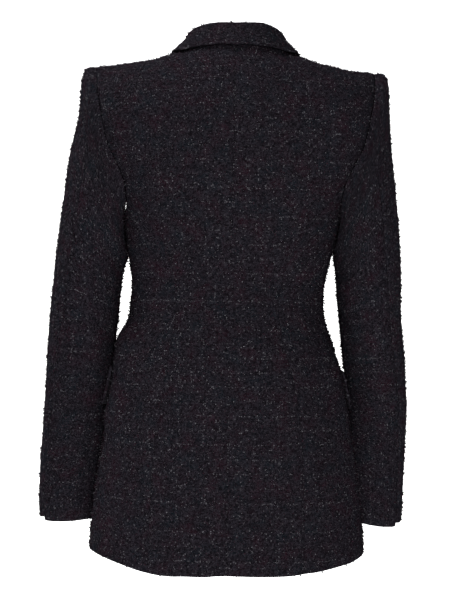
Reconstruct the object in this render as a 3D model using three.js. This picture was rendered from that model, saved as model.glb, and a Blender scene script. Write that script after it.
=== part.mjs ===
// A fitted tweed blazer with square shoulders, a nipped waist and a flared skirt, filled out as if worn.
// Millimetres, +Z up. The front faces -Y and the wearer's left is +X. The origin lies between the two
// points where the shoulder seams meet the collar, which is where the wearer's shoulders carry it.
import * as THREE from "three";

// Driving sizes
const cloth = 2.4; // tweed with its fusing
const seamInset = 0.16; // each panel stops this short of a seam, so two panels are 0.32 apart
const sleeveSeam = 0.38; // the same on the sleeves, whose seams run aslant
const seamPress = 0.5; // how far a seamed edge is pressed in
const neckHalf = 74; // half the back neck, at the shoulder seams
const shoulderHalf = 195; // armhole seam at the shoulder
const shoulderBase = -100; // the shoulders round over above this height
const shoulderRound = 2.2; // exponent of that rounding
const backHeight = 10; // top of the centre back seam
const hemHeight = -685; // hem at the sides
const hemDip = { back: 19.4, front: 5, sharpness: 2.3 }; // how much longer it is in the middle
const underarm = { seam: -181, dip: -44, reach: -330 }; // seams into the armhole, its lowest point below them
const overlap = 22; // the fronts cross the centre by this much
const breakHeight = -300; // the lapels start to turn here
const lapelTop = -40; // and end below this one
const rollRadius = 2.6; // of the turned edge of lapels and collar
const sleeveGap = 0.25; // sleeve to armhole, past the seam's own inset
const flap = { top: -436, bottom: -490, frontX: 84, backY: 8, stand: 0.5, kick: 4.5, thick: 3.6 };
const button = { radius: 11, thick: 4.2, rim: 0.9, dish: 1.2, stem: 2.6, lift: 1.6, heights: [-318, -422] };
const LEFT = 1; // the wearer's left
const RIGHT = -1;

// Cross-sections of the body from hem to neck: half width, depth behind and before the origin, squareness
const bodySections = [
  { z: -705, half: 192, back: 144, front: 133, square: 2.5 },
  { z: -683, half: 190.5, back: 142, front: 132, square: 2.5 },
  { z: -641, half: 187.5, back: 138.5, front: 131, square: 2.5 },
  { z: -587, half: 181, back: 132.5, front: 128.5, square: 2.5 },
  { z: -543, half: 174.5, back: 126.5, front: 126, square: 2.5 },
  { z: -512, half: 168, back: 121, front: 123.5, square: 2.5 },
  { z: -473, half: 159.5, back: 113, front: 119.5, square: 2.5 },
  { z: -433, half: 154, back: 104, front: 114, square: 2.45 },
  { z: -403, half: 148.5, back: 95.5, front: 108, square: 2.4 },
  { z: -378, half: 140, back: 87.5, front: 101, square: 2.3 },
  { z: -350, half: 135, back: 82, front: 96.5, square: 2.25 },
  { z: -325, half: 134, back: 80, front: 95, square: 2.25 },
  { z: -290, half: 139.5, back: 83, front: 99, square: 2.25 },
  { z: -250, half: 147.5, back: 91, front: 109, square: 2.3 },
  { z: -210, half: 156, back: 98.5, front: 116, square: 2.35 },
  { z: -181, half: 167, back: 102.5, front: 117, square: 2.4 },
  { z: -151, half: 182, back: 105, front: 114, square: 2.4 },
  { z: -125, half: 193, back: 105.5, front: 109, square: 2.4 },
  { z: -95, half: 202, back: 104, front: 103, square: 2.4 },
  { z: -55, half: 208, back: 99, front: 97, square: 2.4 },
  { z: 10, half: 212, back: 86, front: 90, square: 2.4 },
  { z: 40, half: 213, back: 80, front: 88, square: 2.4 },
];

// Worn, the waist stands a little to the wearer's left
const waistSway = [
  { z: -450, x: 0.5 },
  { z: -400, x: 4.5 },
  { z: -355, x: 5.5 },
  { z: -312, x: 4.2 },
  { z: -270, x: 2.6 },
  { z: -205, x: 0 },
];

// The shoulder line, and inside the neck the line to which the upper back would run on
const shoulderLine = [
  { x: 0, z: 36 },
  { x: 8, z: 36 },
  { x: 40, z: 25 },
  { x: 60, z: 13.5 },
  { x: 74, z: 5.5 },
  { x: 98, z: 0 },
  { x: 118, z: -6 },
  { x: 145, z: -12 },
  { x: 170, z: -16.5 },
  { x: 196, z: -20 },
];

// Seams that run down the body: their distance from the middle at each height
const backSeam = [
  { z: -688, x: 104 },
  { z: -555, x: 101 },
  { z: -450, x: 88 },
  { z: -398, x: 77 },
  { z: -345, x: 70 },
  { z: -312, x: 74 },
  { z: -280, x: 84 },
  { z: -248, x: 101 },
  { z: -214, x: 126 },
  { z: -181, x: 153.5 },
];
const frontSeam = [
  { z: -688, x: 163 },
  { z: -555, x: 150 },
  { z: -450, x: 131 },
  { z: -398, x: 121 },
  { z: -345, x: 112 },
  { z: -312, x: 113 },
  { z: -280, x: 119 },
  { z: -248, x: 129 },
  { z: -214, x: 141 },
  { z: -181, x: 150 },
];
const backArmhole = [
  { z: -181, x: 153.5 },
  { z: -151, x: 167 },
  { z: -129, x: 178 },
  { z: -90, x: 187 },
  { z: -56, x: 192.5 },
  { z: -20, x: shoulderHalf },
];
const frontArmhole = [
  { z: -181, x: 150 },
  { z: -151, x: 160 },
  { z: -129, x: 168 },
  { z: -90, x: 180 },
  { z: -56, x: 190 },
  { z: -20, x: shoulderHalf },
];

// The wearer's left back is the narrower one: how far its seam and armhole stand in
const leftBackIn = [
  { z: -260, x: 0 },
  { z: -205, x: 3.6 },
  { z: -165, x: 4.5 },
  { z: -80, x: 4.5 },
  { z: -45, x: 2.6 },
  { z: -20, x: 0 },
];

// Sleeve rings from the armhole to the cuff. out and in are the lines that face away from and towards
// the body, y the middle and depth the half depth. turn shifts the seams round the arm, in degrees.
const rightSleeve = [
  { outX: 195, outZ: -20, inX: 152, inZ: -225, y: -4, depth: 57, turn: 0 },
  { outX: 206, outZ: -18.5, inX: 151.6, inZ: -233, y: -4, depth: 58, turn: 0 },
  { outX: 213.5, outZ: -24, inX: 148.6, inZ: -245, y: -4, depth: 59, turn: 1 },
  { outX: 216, outZ: -46, inX: 145.4, inZ: -257, y: -4, depth: 60, turn: 3 },
  { outX: 218, outZ: -84, inX: 142.5, inZ: -269, y: -4, depth: 60.5, turn: 5 },
  { outX: 221.5, outZ: -130, inX: 142.5, inZ: -283, y: -5, depth: 60.5, turn: 8 },
  { outX: 228, outZ: -182, inX: 144.5, inZ: -298, y: -8, depth: 60, turn: 9 },
  { outX: 234.5, outZ: -240, inX: 146.5, inZ: -318, y: -12, depth: 59, turn: 9 },
  { outX: 238.5, outZ: -295, inX: 150, inZ: -342, y: -17, depth: 57.5, turn: 7 },
  { outX: 241.5, outZ: -345, inX: 154.5, inZ: -374, y: -24, depth: 55.5, turn: 4 },
  { outX: 246, outZ: -395, inX: 157.5, inZ: -410, y: -33, depth: 53.5, turn: 1 },
  { outX: 251, outZ: -445, inX: 164, inZ: -450, y: -44, depth: 51.5, turn: -2 },
  { outX: 254.5, outZ: -495, inX: 169, inZ: -495, y: -56, depth: 49.5, turn: -5 },
  { outX: 254.5, outZ: -545, inX: 170, inZ: -543, y: -67, depth: 47.5, turn: -8 },
  { outX: 254, outZ: -595, inX: 171, inZ: -592, y: -77, depth: 46, turn: -11 },
  { outX: 253, outZ: -640, inX: 171.5, inZ: -637, y: -85, depth: 44.5, turn: -13 },
  { outX: 252.5, outZ: -662, inX: 171.5, inZ: -660, y: -89, depth: 44, turn: -14 },
];
// The left sleeve hangs a little further out: what it adds to the two lines, ring by ring
const leftSwing = {
  out: [0, 0, 0, 0, 1, 7, 8, 9, 11.5, 13.5, 12.5, 11, 11, 14, 18, 19.5, 19.5],
  in: [0, 1.8, 2.9, 4, 4.8, 2.5, 5, 6.5, 7, 4, 3.6, 3.6, 3.6, 7, 13.5, 18, 19.5],
};
const armholePull = [1, 0.9, 0.68, 0.42, 0.2, 0.06]; // how far each first ring keeps the armhole's own shape
const vent = { lift: 4, open: 1.4 }; // at the cuff, the back seam's slit
const sleeveBackSeam = 4; // place of that seam round the armhole, counted from the shoulder's tip
const neckColumns = 3; // columns of a back panel that end at the neck instead of the shoulder
const lapelLift = { roll: 2.7, edge: 1.5 }; // how far a lapel stands off the front
const collarFall = [0.4, 0.72]; // where, down the collar's fall, it is held clear of the shoulders

// Soft folds: from one point to another in the view from behind or before, how deep and how wide
const bodyFolds = [
  { face: 1, side: LEFT, x0: 80, z0: -45, x1: 110, z1: -135, deep: 3, wide: 20 },
  { face: 1, side: RIGHT, x0: 111, z0: -83, x1: 110, z1: -175, deep: 2.2, wide: 20 },
  { face: 1, side: LEFT, x0: 20, z0: -256, x1: 88, z1: -272, deep: 2, wide: 18 },
  { face: 1, side: RIGHT, x0: 60, z0: -300, x1: 118, z1: -330, deep: 1.8, wide: 18 },
  { face: -1, side: LEFT, x0: 146, z0: -399, x1: 158, z1: -432, deep: -10, wide: 24 },
  { face: -1, side: LEFT, x0: 130, z0: -230, x1: 75, z1: -318, deep: 2, wide: 22 },
  { face: -1, side: RIGHT, x0: 128, z0: -238, x1: 70, z1: -312, deep: 2.2, wide: 22 },
];
// Sleeve folds: ring and angle from where to where, in degrees round from the outer line by the back
const sleeveFolds = [
  { side: LEFT, ring0: 4.2, angle0: 50, ring1: 6.2, angle1: 118, deep: 3, wide: 0.9 },
  { side: LEFT, ring0: 8.6, angle0: 60, ring1: 9.5, angle1: 150, deep: 2.4, wide: 0.8 },
  { side: RIGHT, ring0: 4.6, angle0: 70, ring1: 6.4, angle1: 130, deep: 2.6, wide: 0.9 },
  { side: RIGHT, ring0: 9.2, angle0: 40, ring1: 10.4, angle1: 130, deep: 2.4, wide: 0.8 },
  { side: LEFT, ring0: 9.8, angle0: 250, ring1: 9.1, angle1: 330, deep: 3, wide: 0.8 },
  { side: RIGHT, ring0: 9.9, angle0: 245, ring1: 9.2, angle1: 325, deep: 2.8, wide: 0.8 },
];

// Collar stations from the centre back to the notch: the neck seam, the turned edge, and the outer edge,
// which lies on the shoulders at x and at a share of the arc from the shoulder line down the back or front
const collarStations = [
  { seam: [0, 54.6, 10.8], roll: [0, 47.5, 39.5], x: 0, arc: 0.465, lift: 5 },
  { seam: [17, 53.2, 10.8], roll: [17, 46.6, 39.8], x: 22, arc: 0.438, lift: 5 },
  { seam: [33, 48.2, 10.4], roll: [33, 42.6, 39.2], x: 43, arc: 0.379, lift: 4.8 },
  { seam: [47, 40.2, 9.8], roll: [46, 35, 37], x: 60, arc: 0.296, lift: 4.4 },
  { seam: [58, 30, 9], roll: [55, 25, 34.6], x: 73, arc: 0.21, lift: 4 },
  { seam: [66, 17.5, 8], roll: [61.5, 13, 31], x: 82, arc: 0.125, lift: 3.8 },
  { seam: [70.5, 5, 7.6], roll: [65, 0, 26.5], x: 87.5, arc: 0.015, lift: 3.6 },
  { seam: [70.2, -8, 5.6], roll: [66.5, -14, 20], x: 91, arc: -0.1, lift: 3.6 },
  { seam: [67.5, -22, 1], roll: [65.2, -30, 11], x: 94.5, arc: -0.219, lift: 3.5 },
  { seam: [64.3, -38, -7.5], roll: [62, -46.6, -0.6], x: 98, arc: -0.345, lift: 3.4 },
  { seam: [60.7, -54, -20], roll: [58, -63, -15.6], x: 102, arc: -0.465, lift: 3.4 },
  { seam: [57.3, -68.5, -34], roll: [54, -78, -31.6], x: 106, arc: -0.593, lift: 3.4 },
  { seam: [56.3, -74.5, -41], roll: [52.5, -84, -40.2], x: 88, arc: -0.723, lift: 3.6 },
];
// The lapel's outer edge, from where it starts to turn up to its corner
const lapelEdge = [
  { t: 0, x: -17, z: -294 },
  { t: 0.2, x: 15, z: -258 },
  { t: 0.4, x: 50, z: -216 },
  { t: 0.6, x: 83, z: -168 },
  { t: 0.8, x: 108, z: -121 },
  { t: 1, x: 127, z: -80 },
];

const tweed = new THREE.MeshStandardMaterial({ color: 0x1d1b20, roughness: 0.95, metalness: 0 });
const horn = new THREE.MeshStandardMaterial({ color: 0x101012, roughness: 0.35, metalness: 0 });

const clamp = (value, low, high) => Math.min(high, Math.max(low, value));
const mix = (a, b, t) => a + (b - a) * t;
const ease = (from, to, at) => {
  const t = clamp((at - from) / (to - from), 0, 1);
  return t * t * (3 - 2 * t);
};
const signedPower = (value, power) => Math.sign(value) * Math.abs(value) ** power;

// One named column of a table at any height, smooth and without overshoot. The key column rises.
function read(table, key, column, at) {
  const last = table.length - 1;
  if (at <= table[0][key]) return table[0][column];
  if (at >= table[last][key]) return table[last][column];
  let i = 0;
  while (table[i + 1][key] < at) i++;
  const slope = (j) => (table[j + 1][column] - table[j][column]) / (table[j + 1][key] - table[j][key]);
  const tangent = (j) => {
    if (j === 0) return slope(0);
    if (j === last) return slope(last - 1);
    const before = slope(j - 1);
    const after = slope(j);
    return before * after <= 0 ? 0 : (2 * before * after) / (before + after);
  };
  const step = table[i + 1][key] - table[i][key];
  const t = (at - table[i][key]) / step;
  const t2 = t * t;
  const t3 = t2 * t;
  return (
    (2 * t3 - 3 * t2 + 1) * table[i][column] +
    (t3 - 2 * t2 + t) * step * tangent(i) +
    (3 * t2 - 2 * t3) * table[i + 1][column] +
    (t3 - t2) * step * tangent(i + 1)
  );
}

// Distance of the back panel's outer edge from the middle
const backEdge = (z, side) => {
  const edge = z <= underarm.seam ? backSeam : backArmhole;
  return read(edge, "z", "x", z) - (side === LEFT ? read(leftBackIn, "z", "x", z) : 0);
};

const section = (z, column) => read(bodySections, "z", column, z);
const ridgeHeight = (x) => read(shoulderLine, "x", "z", Math.abs(x));
const facingName = (facing) => (facing > 0 ? "back" : "front");

// Depth of the body's own section at a distance x from the middle
function sectionDepth(x, z, facing) {
  const power = section(z, "square");
  const rest = Math.max(0, 1 - Math.abs(x / section(z, "half")) ** power);
  return section(z, facingName(facing)) * rest ** (1 / power);
}

// How far up the shoulder's rounding a point is, from 0 at its base to 1 on the shoulder line
const shoulderRise = (x, z) => clamp((z - shoulderBase) / (ridgeHeight(x) - shoulderBase), 0, 1);

// The garment's outer surface seen from behind (facing 1) or before (facing -1)
function surfacePoint(x, z, facing) {
  const fall = (1 - shoulderRise(x, z) ** shoulderRound) ** (1 / shoulderRound);
  return new THREE.Vector3(x, facing * sectionDepth(x, z, facing) * fall, z);
}

// The same surface by angle round the body, from the centre back by the side to the front
function ringPoint(angle, z) {
  const power = section(z, "square");
  const depth = Math.cos(angle) > 0 ? section(z, "back") : section(z, "front");
  const x = section(z, "half") * signedPower(Math.sin(angle), 2 / power);
  return new THREE.Vector3(x, depth * signedPower(Math.cos(angle), 2 / power), z);
}

// The angle at which the ring at height z is x from the middle, on the back or on the front
function ringAngle(x, z, facing) {
  const share = signedPower(clamp(x / section(z, "half"), -1, 1), section(z, "square") / 2);
  const angle = Math.asin(share);
  return facing > 0 ? angle : Math.PI - angle;
}

// A point on the shoulder at x, by its share of the arc from the shoulder line to the shoulders' base
function shoulderArcPoint(x, arc) {
  const turn = (Math.abs(arc) * Math.PI) / 2;
  const z = mix(shoulderBase, ridgeHeight(x), Math.cos(turn) ** (2 / shoulderRound));
  const depth = sectionDepth(x, z, Math.sign(arc)) * Math.sin(turn) ** (2 / shoulderRound);
  return new THREE.Vector3(x, Math.sign(arc) * depth, z);
}

// A field that is zero on the surface and grows outwards
function bodyField(x, y, z, onShoulder) {
  const power = section(z, "square");
  const depth = section(z, y >= 0 ? "back" : "front");
  const across = Math.abs(x / section(z, "half")) ** power;
  if (!onShoulder) return across + Math.abs(y / depth) ** power - 1;
  const reach = depth * Math.max(0.02, 1 - across) ** (1 / power);
  const rise = Math.max(0, (z - shoulderBase) / (ridgeHeight(x) - shoulderBase));
  return (Math.abs(y) / reach) ** shoulderRound + rise ** shoulderRound - 1;
}

function fieldSlope({ x, y, z }) {
  const h = 0.2;
  const high = z > shoulderBase + 0.01;
  const at = (dx, dy, dz) => bodyField(x + dx, y + dy, z + dz, high);
  return new THREE.Vector3(
    at(h, 0, 0) - at(-h, 0, 0),
    at(0, h, 0) - at(0, -h, 0),
    at(0, 0, h) - at(0, 0, -h),
  ).divideScalar(2 * h);
}

const surfaceNormal = (point) => fieldSlope(point).normalize();

// Moves a point out until it stands clear of the surface by a height
function standClear(point, height) {
  const clear = point.clone();
  for (let i = 0; i < 3; i++) {
    const slope = fieldSlope(clear);
    const { x, y, z } = clear;
    const away = bodyField(x, y, z, z > shoulderBase + 0.01) / slope.length();
    if (away < height) clear.addScaledVector(slope.normalize(), height - away);
  }
  return clear;
}

// Depth of a fold at a distance from the line between two points, fading at its ends
function foldDepth(fold, u, v, u0, v0, u1, v1) {
  const du = u1 - u0;
  const dv = v1 - v0;
  const along = ((u - u0) * du + (v - v0) * dv) / (du * du + dv * dv);
  const nearest = clamp(along, 0, 1);
  const away = Math.hypot(u - u0 - du * nearest, v - v0 - dv * nearest);
  return fold.deep * Math.exp(-((away / fold.wide) ** 2));
}

function bodyFoldDepth(point, side) {
  const facing = point.y >= 0 ? 1 : -1;
  const depth = bodyFolds
    .filter((fold) => fold.face === facing && fold.side === side)
    .reduce((sum, fold) => sum + foldDepth(fold, point.x, point.z, fold.x0, fold.z0, fold.x1, fold.z1), 0);
  return depth * ease(0, 28, Math.abs(point.y));
}

// The under front gives way to the one that laps over it, and more where its lapel lies between them
function underLap(x, z) {
  const deep = mix(3.4, 8.8, ease(-350, -305, z)) * (1 - ease(-215, -140, z));
  return deep * (1 - ease(26, 74, x));
}

// A point of the cloth with its normal, folded and moved out by lift. x still counts from the middle
// towards the panel's own side, and the sway is the only thing that differs between left and right.
function clothPoint(point, side, { lift = 0, under = false } = {}) {
  const normal = surfaceNormal(point);
  const give = bodyFoldDepth(point, side) + (under ? underLap(point.x, point.z) : 0);
  const placed = point.clone().addScaledVector(normal, lift - give);
  placed.x += side * read(waistSway, "z", "x", point.z);
  return { point: placed, normal };
}

// Angles that split a ring between two angles into equal lengths, stopping short of both by an inset
function evenAngles(from, to, z, count) {
  const steps = 48;
  const angles = Array.from({ length: steps + 1 }, (_, i) => mix(from, to, i / steps));
  const reach = [0];
  for (let i = 1; i <= steps; i++) {
    reach.push(reach[i - 1] + ringPoint(angles[i], z).distanceTo(ringPoint(angles[i - 1], z)));
  }
  const total = reach[steps];
  return Array.from({ length: count + 1 }, (_, k) => {
    const want = clamp((total * k) / count, seamInset, total - seamInset);
    let i = 1;
    while (i < steps && reach[i] < want) i++;
    return mix(angles[i - 1], angles[i], (want - reach[i - 1]) / (reach[i] - reach[i - 1]));
  });
}

// Heights of the rows that all body panels share, from the hem to the base of the shoulders
const rowHeights = [
  ...[hemHeight, -645, -600, -555, -515, -480, -450, -422, -398, -374, -345, -318, breakHeight],
  ...[-280, -248, -214, underarm.seam, -153, -126, shoulderBase],
];
const armholeRow = rowHeights.indexOf(underarm.seam);
const shoulderRows = 6;
const columns = { back: 8, side: 8, front: 8 };

// How much lower the hem hangs at an angle round the body, fading up the skirt
function hemDrop(angle, z) {
  const share = 1 - ease(hemHeight, -540, z);
  const dip = Math.cos(angle) > 0 ? hemDip.back : hemDip.front;
  return -dip * Math.abs(Math.cos(angle)) ** hemDip.sharpness * share;
}

// The inner edge of a front: the closing edge below, the turn of the lapel above
const frontEdge = (z) => mix(-overlap, neckHalf, clamp((z - breakHeight) / (5.5 - breakHeight), 0, 1));

// A wall between an outer grid of cloth points and the same grid moved in by its thickness.
// press pushes the outer points of the named edges in, where they are seamed.
function wallGeometry(grid, thick, side, press = {}) {
  const rows = grid.length;
  const cols = grid[0].length;
  const positions = [];
  const edgePress = (i, j) => {
    const onEdge =
      (press.first && j === 0) || (press.last && j === cols - 1) || (press.top && i === rows - 1);
    return onEdge ? seamPress : 0;
  };
  for (const layer of [0, 1]) {
    grid.forEach((row, i) =>
      row.forEach(({ point, normal }, j) => {
        const p = point.clone().addScaledVector(normal, layer ? -thick : -edgePress(i, j));
        positions.push(p.x * side, p.y, p.z);
      }),
    );
  }
  const outer = (i, j) => i * cols + j;
  const inner = (i, j) => rows * cols + i * cols + j;
  const faces = [];
  const quad = (a, b, c, d) => faces.push(a, b, c, a, c, d);
  for (let i = 0; i < rows - 1; i++) {
    for (let j = 0; j < cols - 1; j++) {
      quad(outer(i, j), outer(i, j + 1), outer(i + 1, j + 1), outer(i + 1, j));
      quad(inner(i, j), inner(i + 1, j), inner(i + 1, j + 1), inner(i, j + 1));
    }
    quad(outer(i + 1, 0), inner(i + 1, 0), inner(i, 0), outer(i, 0));
    quad(outer(i, cols - 1), inner(i, cols - 1), inner(i + 1, cols - 1), outer(i + 1, cols - 1));
  }
  for (let j = 0; j < cols - 1; j++) {
    quad(outer(0, j), inner(0, j), inner(0, j + 1), outer(0, j + 1));
    quad(outer(rows - 1, j + 1), inner(rows - 1, j + 1), inner(rows - 1, j), outer(rows - 1, j));
  }
  return closedGeometry(positions, faces);
}

// A geometry whose faces all point out, whichever way round they were listed
function closedGeometry(positions, faces) {
  let volume = 0;
  const at = (i) => new THREE.Vector3().fromArray(positions, i * 3);
  for (let f = 0; f < faces.length; f += 3) {
    volume += at(faces[f]).dot(at(faces[f + 1]).cross(at(faces[f + 2])));
  }
  const index = volume < 0 ? faces.slice().reverse() : faces;
  const geometry = new THREE.BufferGeometry();
  geometry.setAttribute("position", new THREE.Float32BufferAttribute(positions, 3));
  geometry.setIndex(index);
  return geometry;
}

function addPiece(group, name, geometry, material = tweed) {
  const mesh = new THREE.Mesh(geometry, material);
  mesh.name = name;
  group.add(mesh);
}

// Rows of a panel over the shoulder: each column rises from its place at the shoulders' base
function shoulderGrid(facing, baseX, topX, topZ, edges, options, side) {
  const count = baseX.length - 1;
  return Array.from({ length: shoulderRows }, (_, i) =>
    baseX.map((x0, k) => {
      const topRise = shoulderRise(topX[k], topZ[k]);
      const fullTurn = Math.asin(topRise ** (shoulderRound / 2));
      const rise = Math.sin(((i + 1) / shoulderRows) * fullTurn) ** (2 / shoulderRound) / topRise;
      const z = mix(shoulderBase, topZ[k], rise);
      let x = mix(x0, topX[k], rise);
      if (k === 0) x = edges.inner(z);
      if (k === count) x = edges.outer(z) - seamInset;
      return clothPoint(surfacePoint(x, z, facing), side, options);
    }),
  );
}

// A back panel, from the centre back seam to the side seam and the armhole
function backGrid(side) {
  const low = rowHeights.map((z) => {
    const angles = evenAngles(0, ringAngle(backEdge(z, side), z, 1), z, columns.back);
    return angles.map((angle) => clothPoint(ringPoint(angle, z + hemDrop(angle, z)), side));
  });
  const base = low[low.length - 1].map(({ point }) => point.x);
  const topX = base.map((_, k) =>
    k <= neckColumns
      ? mix(base[0], neckHalf, (k / neckColumns) ** 0.9)
      : mix(neckHalf, shoulderHalf - seamInset, (k - neckColumns) / (columns.back - neckColumns)),
  );
  const topZ = topX.map((x, k) =>
    k < neckColumns ? mix(backHeight, ridgeHeight(neckHalf), (k / neckColumns) ** 2) : ridgeHeight(x),
  );
  const edges = { inner: () => base[0], outer: (z) => backEdge(z, side) };
  const high = shoulderGrid(1, base, topX, topZ, edges, {}, side);
  high[high.length - 1].forEach((cell, k) => {
    if (k >= neckColumns) cell.point.y += seamInset;
  });
  return [...low, ...high];
}

// A side panel: its top dips under the arm
const underarmDip = (share, z) =>
  underarm.dip * Math.sin(Math.PI * clamp(share, 0, 1)) ** 0.8 * ease(underarm.reach, underarm.seam, z);

function sideGrid(side) {
  return rowHeights.slice(0, armholeRow + 1).map((z, i) => {
    const from = ringAngle(backEdge(z, side), z, 1);
    const to = ringAngle(read(frontSeam, "z", "x", z), z, -1);
    const angles = evenAngles(from, to, z, columns.side);
    return angles.map((angle, k) => {
      const height = z + underarmDip(k / columns.side, z) + hemDrop(angle, z);
      const inset = i === armholeRow ? seamInset : 0;
      const widened = shiftedSeamAngle(angle, z, height, k, side);
      return clothPoint(ringPoint(widened, height - inset), side);
    });
  });
}

// A side panel's column keeps its share of the panel where its row dips, so rows stay evenly spread
function shiftedSeamAngle(angle, z, height, k, side) {
  if (k === 0 || k === columns.side || height === z) return angle;
  const from = ringAngle(backEdge(z, side), z, 1);
  const to = ringAngle(read(frontSeam, "z", "x", z), z, -1);
  const lowFrom = ringAngle(backEdge(height, side), height, 1);
  const lowTo = ringAngle(read(frontSeam, "z", "x", height), height, -1);
  const share = (angle - from) / (to - from);
  const full = mix(lowFrom, lowTo, share);
  return mix(full, angle, Math.abs(2 * share - 1) ** 2);
}

// A front panel, from its closing or turned edge to the side seam and the armhole
function frontGrid(side) {
  const options = { under: side === LEFT };
  const low = rowHeights.map((z, i) => {
    const edge = i <= armholeRow ? frontSeam : frontArmhole;
    const from = ringAngle(frontEdge(z), z, -1);
    const to = ringAngle(read(edge, "z", "x", z), z, -1);
    const angles = evenAngles(from, to, z, columns.front);
    return angles.map((angle) => clothPoint(ringPoint(angle, z + hemDrop(angle, z)), side, options));
  });
  const base = low[low.length - 1].map(({ point }) => point.x);
  const topX = base.map((_, k) => mix(neckHalf, shoulderHalf - seamInset, k / columns.front));
  const topZ = topX.map((x) => ridgeHeight(x));
  const edges = { inner: frontEdge, outer: (z) => read(frontArmhole, "z", "x", z) };
  const high = shoulderGrid(-1, base, topX, topZ, edges, options, side);
  high[high.length - 1].forEach((cell) => {
    cell.point.y -= seamInset;
  });
  return [...low, ...high];
}

// The armhole as a closed loop: over the tip of the shoulder, down the back, under the arm, up the front
function armholeLoop(side) {
  const back = backGrid(side);
  const under = sideGrid(side)[armholeRow];
  const front = frontGrid(side);
  const last = (row) => row[row.length - 1];
  return [
    ...back.slice(armholeRow + 1).reverse().map(last),
    ...under,
    ...front.slice(armholeRow + 1, -1).map(last),
  ];
}

// A sleeve: rings of cloth points, one column for each point of the armhole loop, closed round the arm
function sleeveRings(side) {
  const loop = armholeLoop(side);
  const count = loop.length;
  const lowest = loop.reduce((best, cell, k) => (cell.point.z < loop[best].point.z ? k : best), 0);
  const first = rightSleeve[0];
  const turns = loop.map(({ point }, k) => {
    const share = clamp((2 * (point.z - first.inZ)) / (first.outZ - first.inZ) - 1, -1, 1);
    const angle = k === 0 ? 0 : Math.acos(share);
    return k <= lowest ? angle : 2 * Math.PI - angle;
  });
  const oval = (j, angle) => {
    const ring = rightSleeve[j];
    const swing = side === LEFT ? 1 : 0;
    const out = new THREE.Vector2(ring.outX + swing * leftSwing.out[j], ring.outZ);
    const inner = new THREE.Vector2(ring.inX + swing * leftSwing.in[j], ring.inZ);
    const middle = out.clone().add(inner).multiplyScalar(0.5);
    const reach = out.clone().sub(middle);
    return new THREE.Vector3(
      middle.x + reach.x * Math.cos(angle),
      ring.y + ring.depth * Math.sin(angle),
      middle.y + reach.y * Math.cos(angle),
    );
  };
  const starts = loop.map(({ point, normal }, k) => {
    const tangent = loop[(k + 1) % count].point.clone().sub(loop[(k + count - 1) % count].point);
    const away = tangent.cross(normal).normalize();
    return point.clone().addScaledVector(away, sleeveGap);
  });
  const points = rightSleeve.map((ring, j) =>
    turns.map((turn, k) => {
      const point = oval(j, turn + THREE.MathUtils.degToRad(ring.turn));
      const pull = armholePull[j] ?? 0;
      return point.addScaledVector(starts[k].clone().sub(oval(0, turn)), pull);
    }),
  );
  return points.map((ring, j) =>
    ring.map((point, k) => {
      const down = points[Math.min(j + 1, points.length - 1)][k].clone().sub(points[Math.max(j - 1, 0)][k]);
      const round = ring[(k + 1) % count].clone().sub(ring[(k + count - 1) % count]);
      const normal = down.cross(round).normalize();
      const degrees = THREE.MathUtils.radToDeg(turns[k]);
      const deep = sleeveFolds
        .filter((fold) => fold.side === side)
        .reduce((sum, f) => {
          const scale = 60; // degrees that count as one ring
          const u = degrees / scale;
          return sum + foldDepth(f, j, u, f.ring0, f.angle0 / scale, f.ring1, f.angle1 / scale);
        }, 0);
      return { point: point.clone().addScaledVector(normal, -deep), normal };
    }),
  );
}

// One cut piece of a sleeve, between two columns of its rings
function sleevePiece(rings, from, to, lift) {
  const count = rings[0].length;
  const last = rings.length - 1;
  return rings.map((ring, j) => {
    const cells = [];
    for (let k = from; k <= to; k++) cells.push(ring[k % count]);
    const inset = (column, step, open) => {
      const near = ring[column % count];
      const above = rings[Math.max(j - 1, 0)][column % count].point;
      const below = rings[Math.min(j + 1, last)][column % count].point;
      const across = below.clone().sub(above).cross(near.normal).normalize();
      const next = ring[(column + step + count) % count].point.clone().sub(near.point);
      const away = across.multiplyScalar(Math.sign(across.dot(next)));
      return { point: near.point.clone().addScaledVector(away, sleeveSeam + open), normal: near.normal };
    };
    const slit = j === last ? vent.open : 0;
    cells[0] = inset(from, 1, lift.first ? slit : 0);
    cells[cells.length - 1] = inset(to, -1, lift.last ? slit : 0);
    if (j === last && lift.raise) {
      const end = cells[cells.length - 1];
      end.point.z += vent.lift;
    }
    return cells;
  });
}

// A band turned over along a line: a short leg, the turn, and a leg that lies back to an outer edge
function turnedProfile(seam, roll, legPoints) {
  const edge = legPoints[legPoints.length - 1];
  const tip = roll.clone().sub(seam.clone().add(edge).multiplyScalar(0.5)).normalize();
  const out = edge.clone().sub(seam);
  out.addScaledVector(tip, -out.dot(tip)).normalize();
  const centre = roll.clone().addScaledVector(tip, -rollRadius);
  const turn = [Math.PI, (3 * Math.PI) / 4, Math.PI / 2, Math.PI / 4, 0].map((angle) =>
    centre
      .clone()
      .addScaledVector(out, rollRadius * Math.cos(angle))
      .addScaledVector(tip, rollRadius * Math.sin(angle)),
  );
  return { line: [seam, ...turn, ...legPoints], tip, out };
}

// Cloth points along a profile, with normals in the profile's own plane
function profileCells({ line, tip, out }) {
  const across = tip.clone().cross(out);
  return line.map((point, i) => {
    const before = line[Math.max(i - 1, 0)];
    const after = line[Math.min(i + 1, line.length - 1)];
    const normal = after.clone().sub(before).cross(across).normalize();
    return { point: point.clone().addScaledVector(normal, cloth / 2), normal };
  });
}

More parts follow.
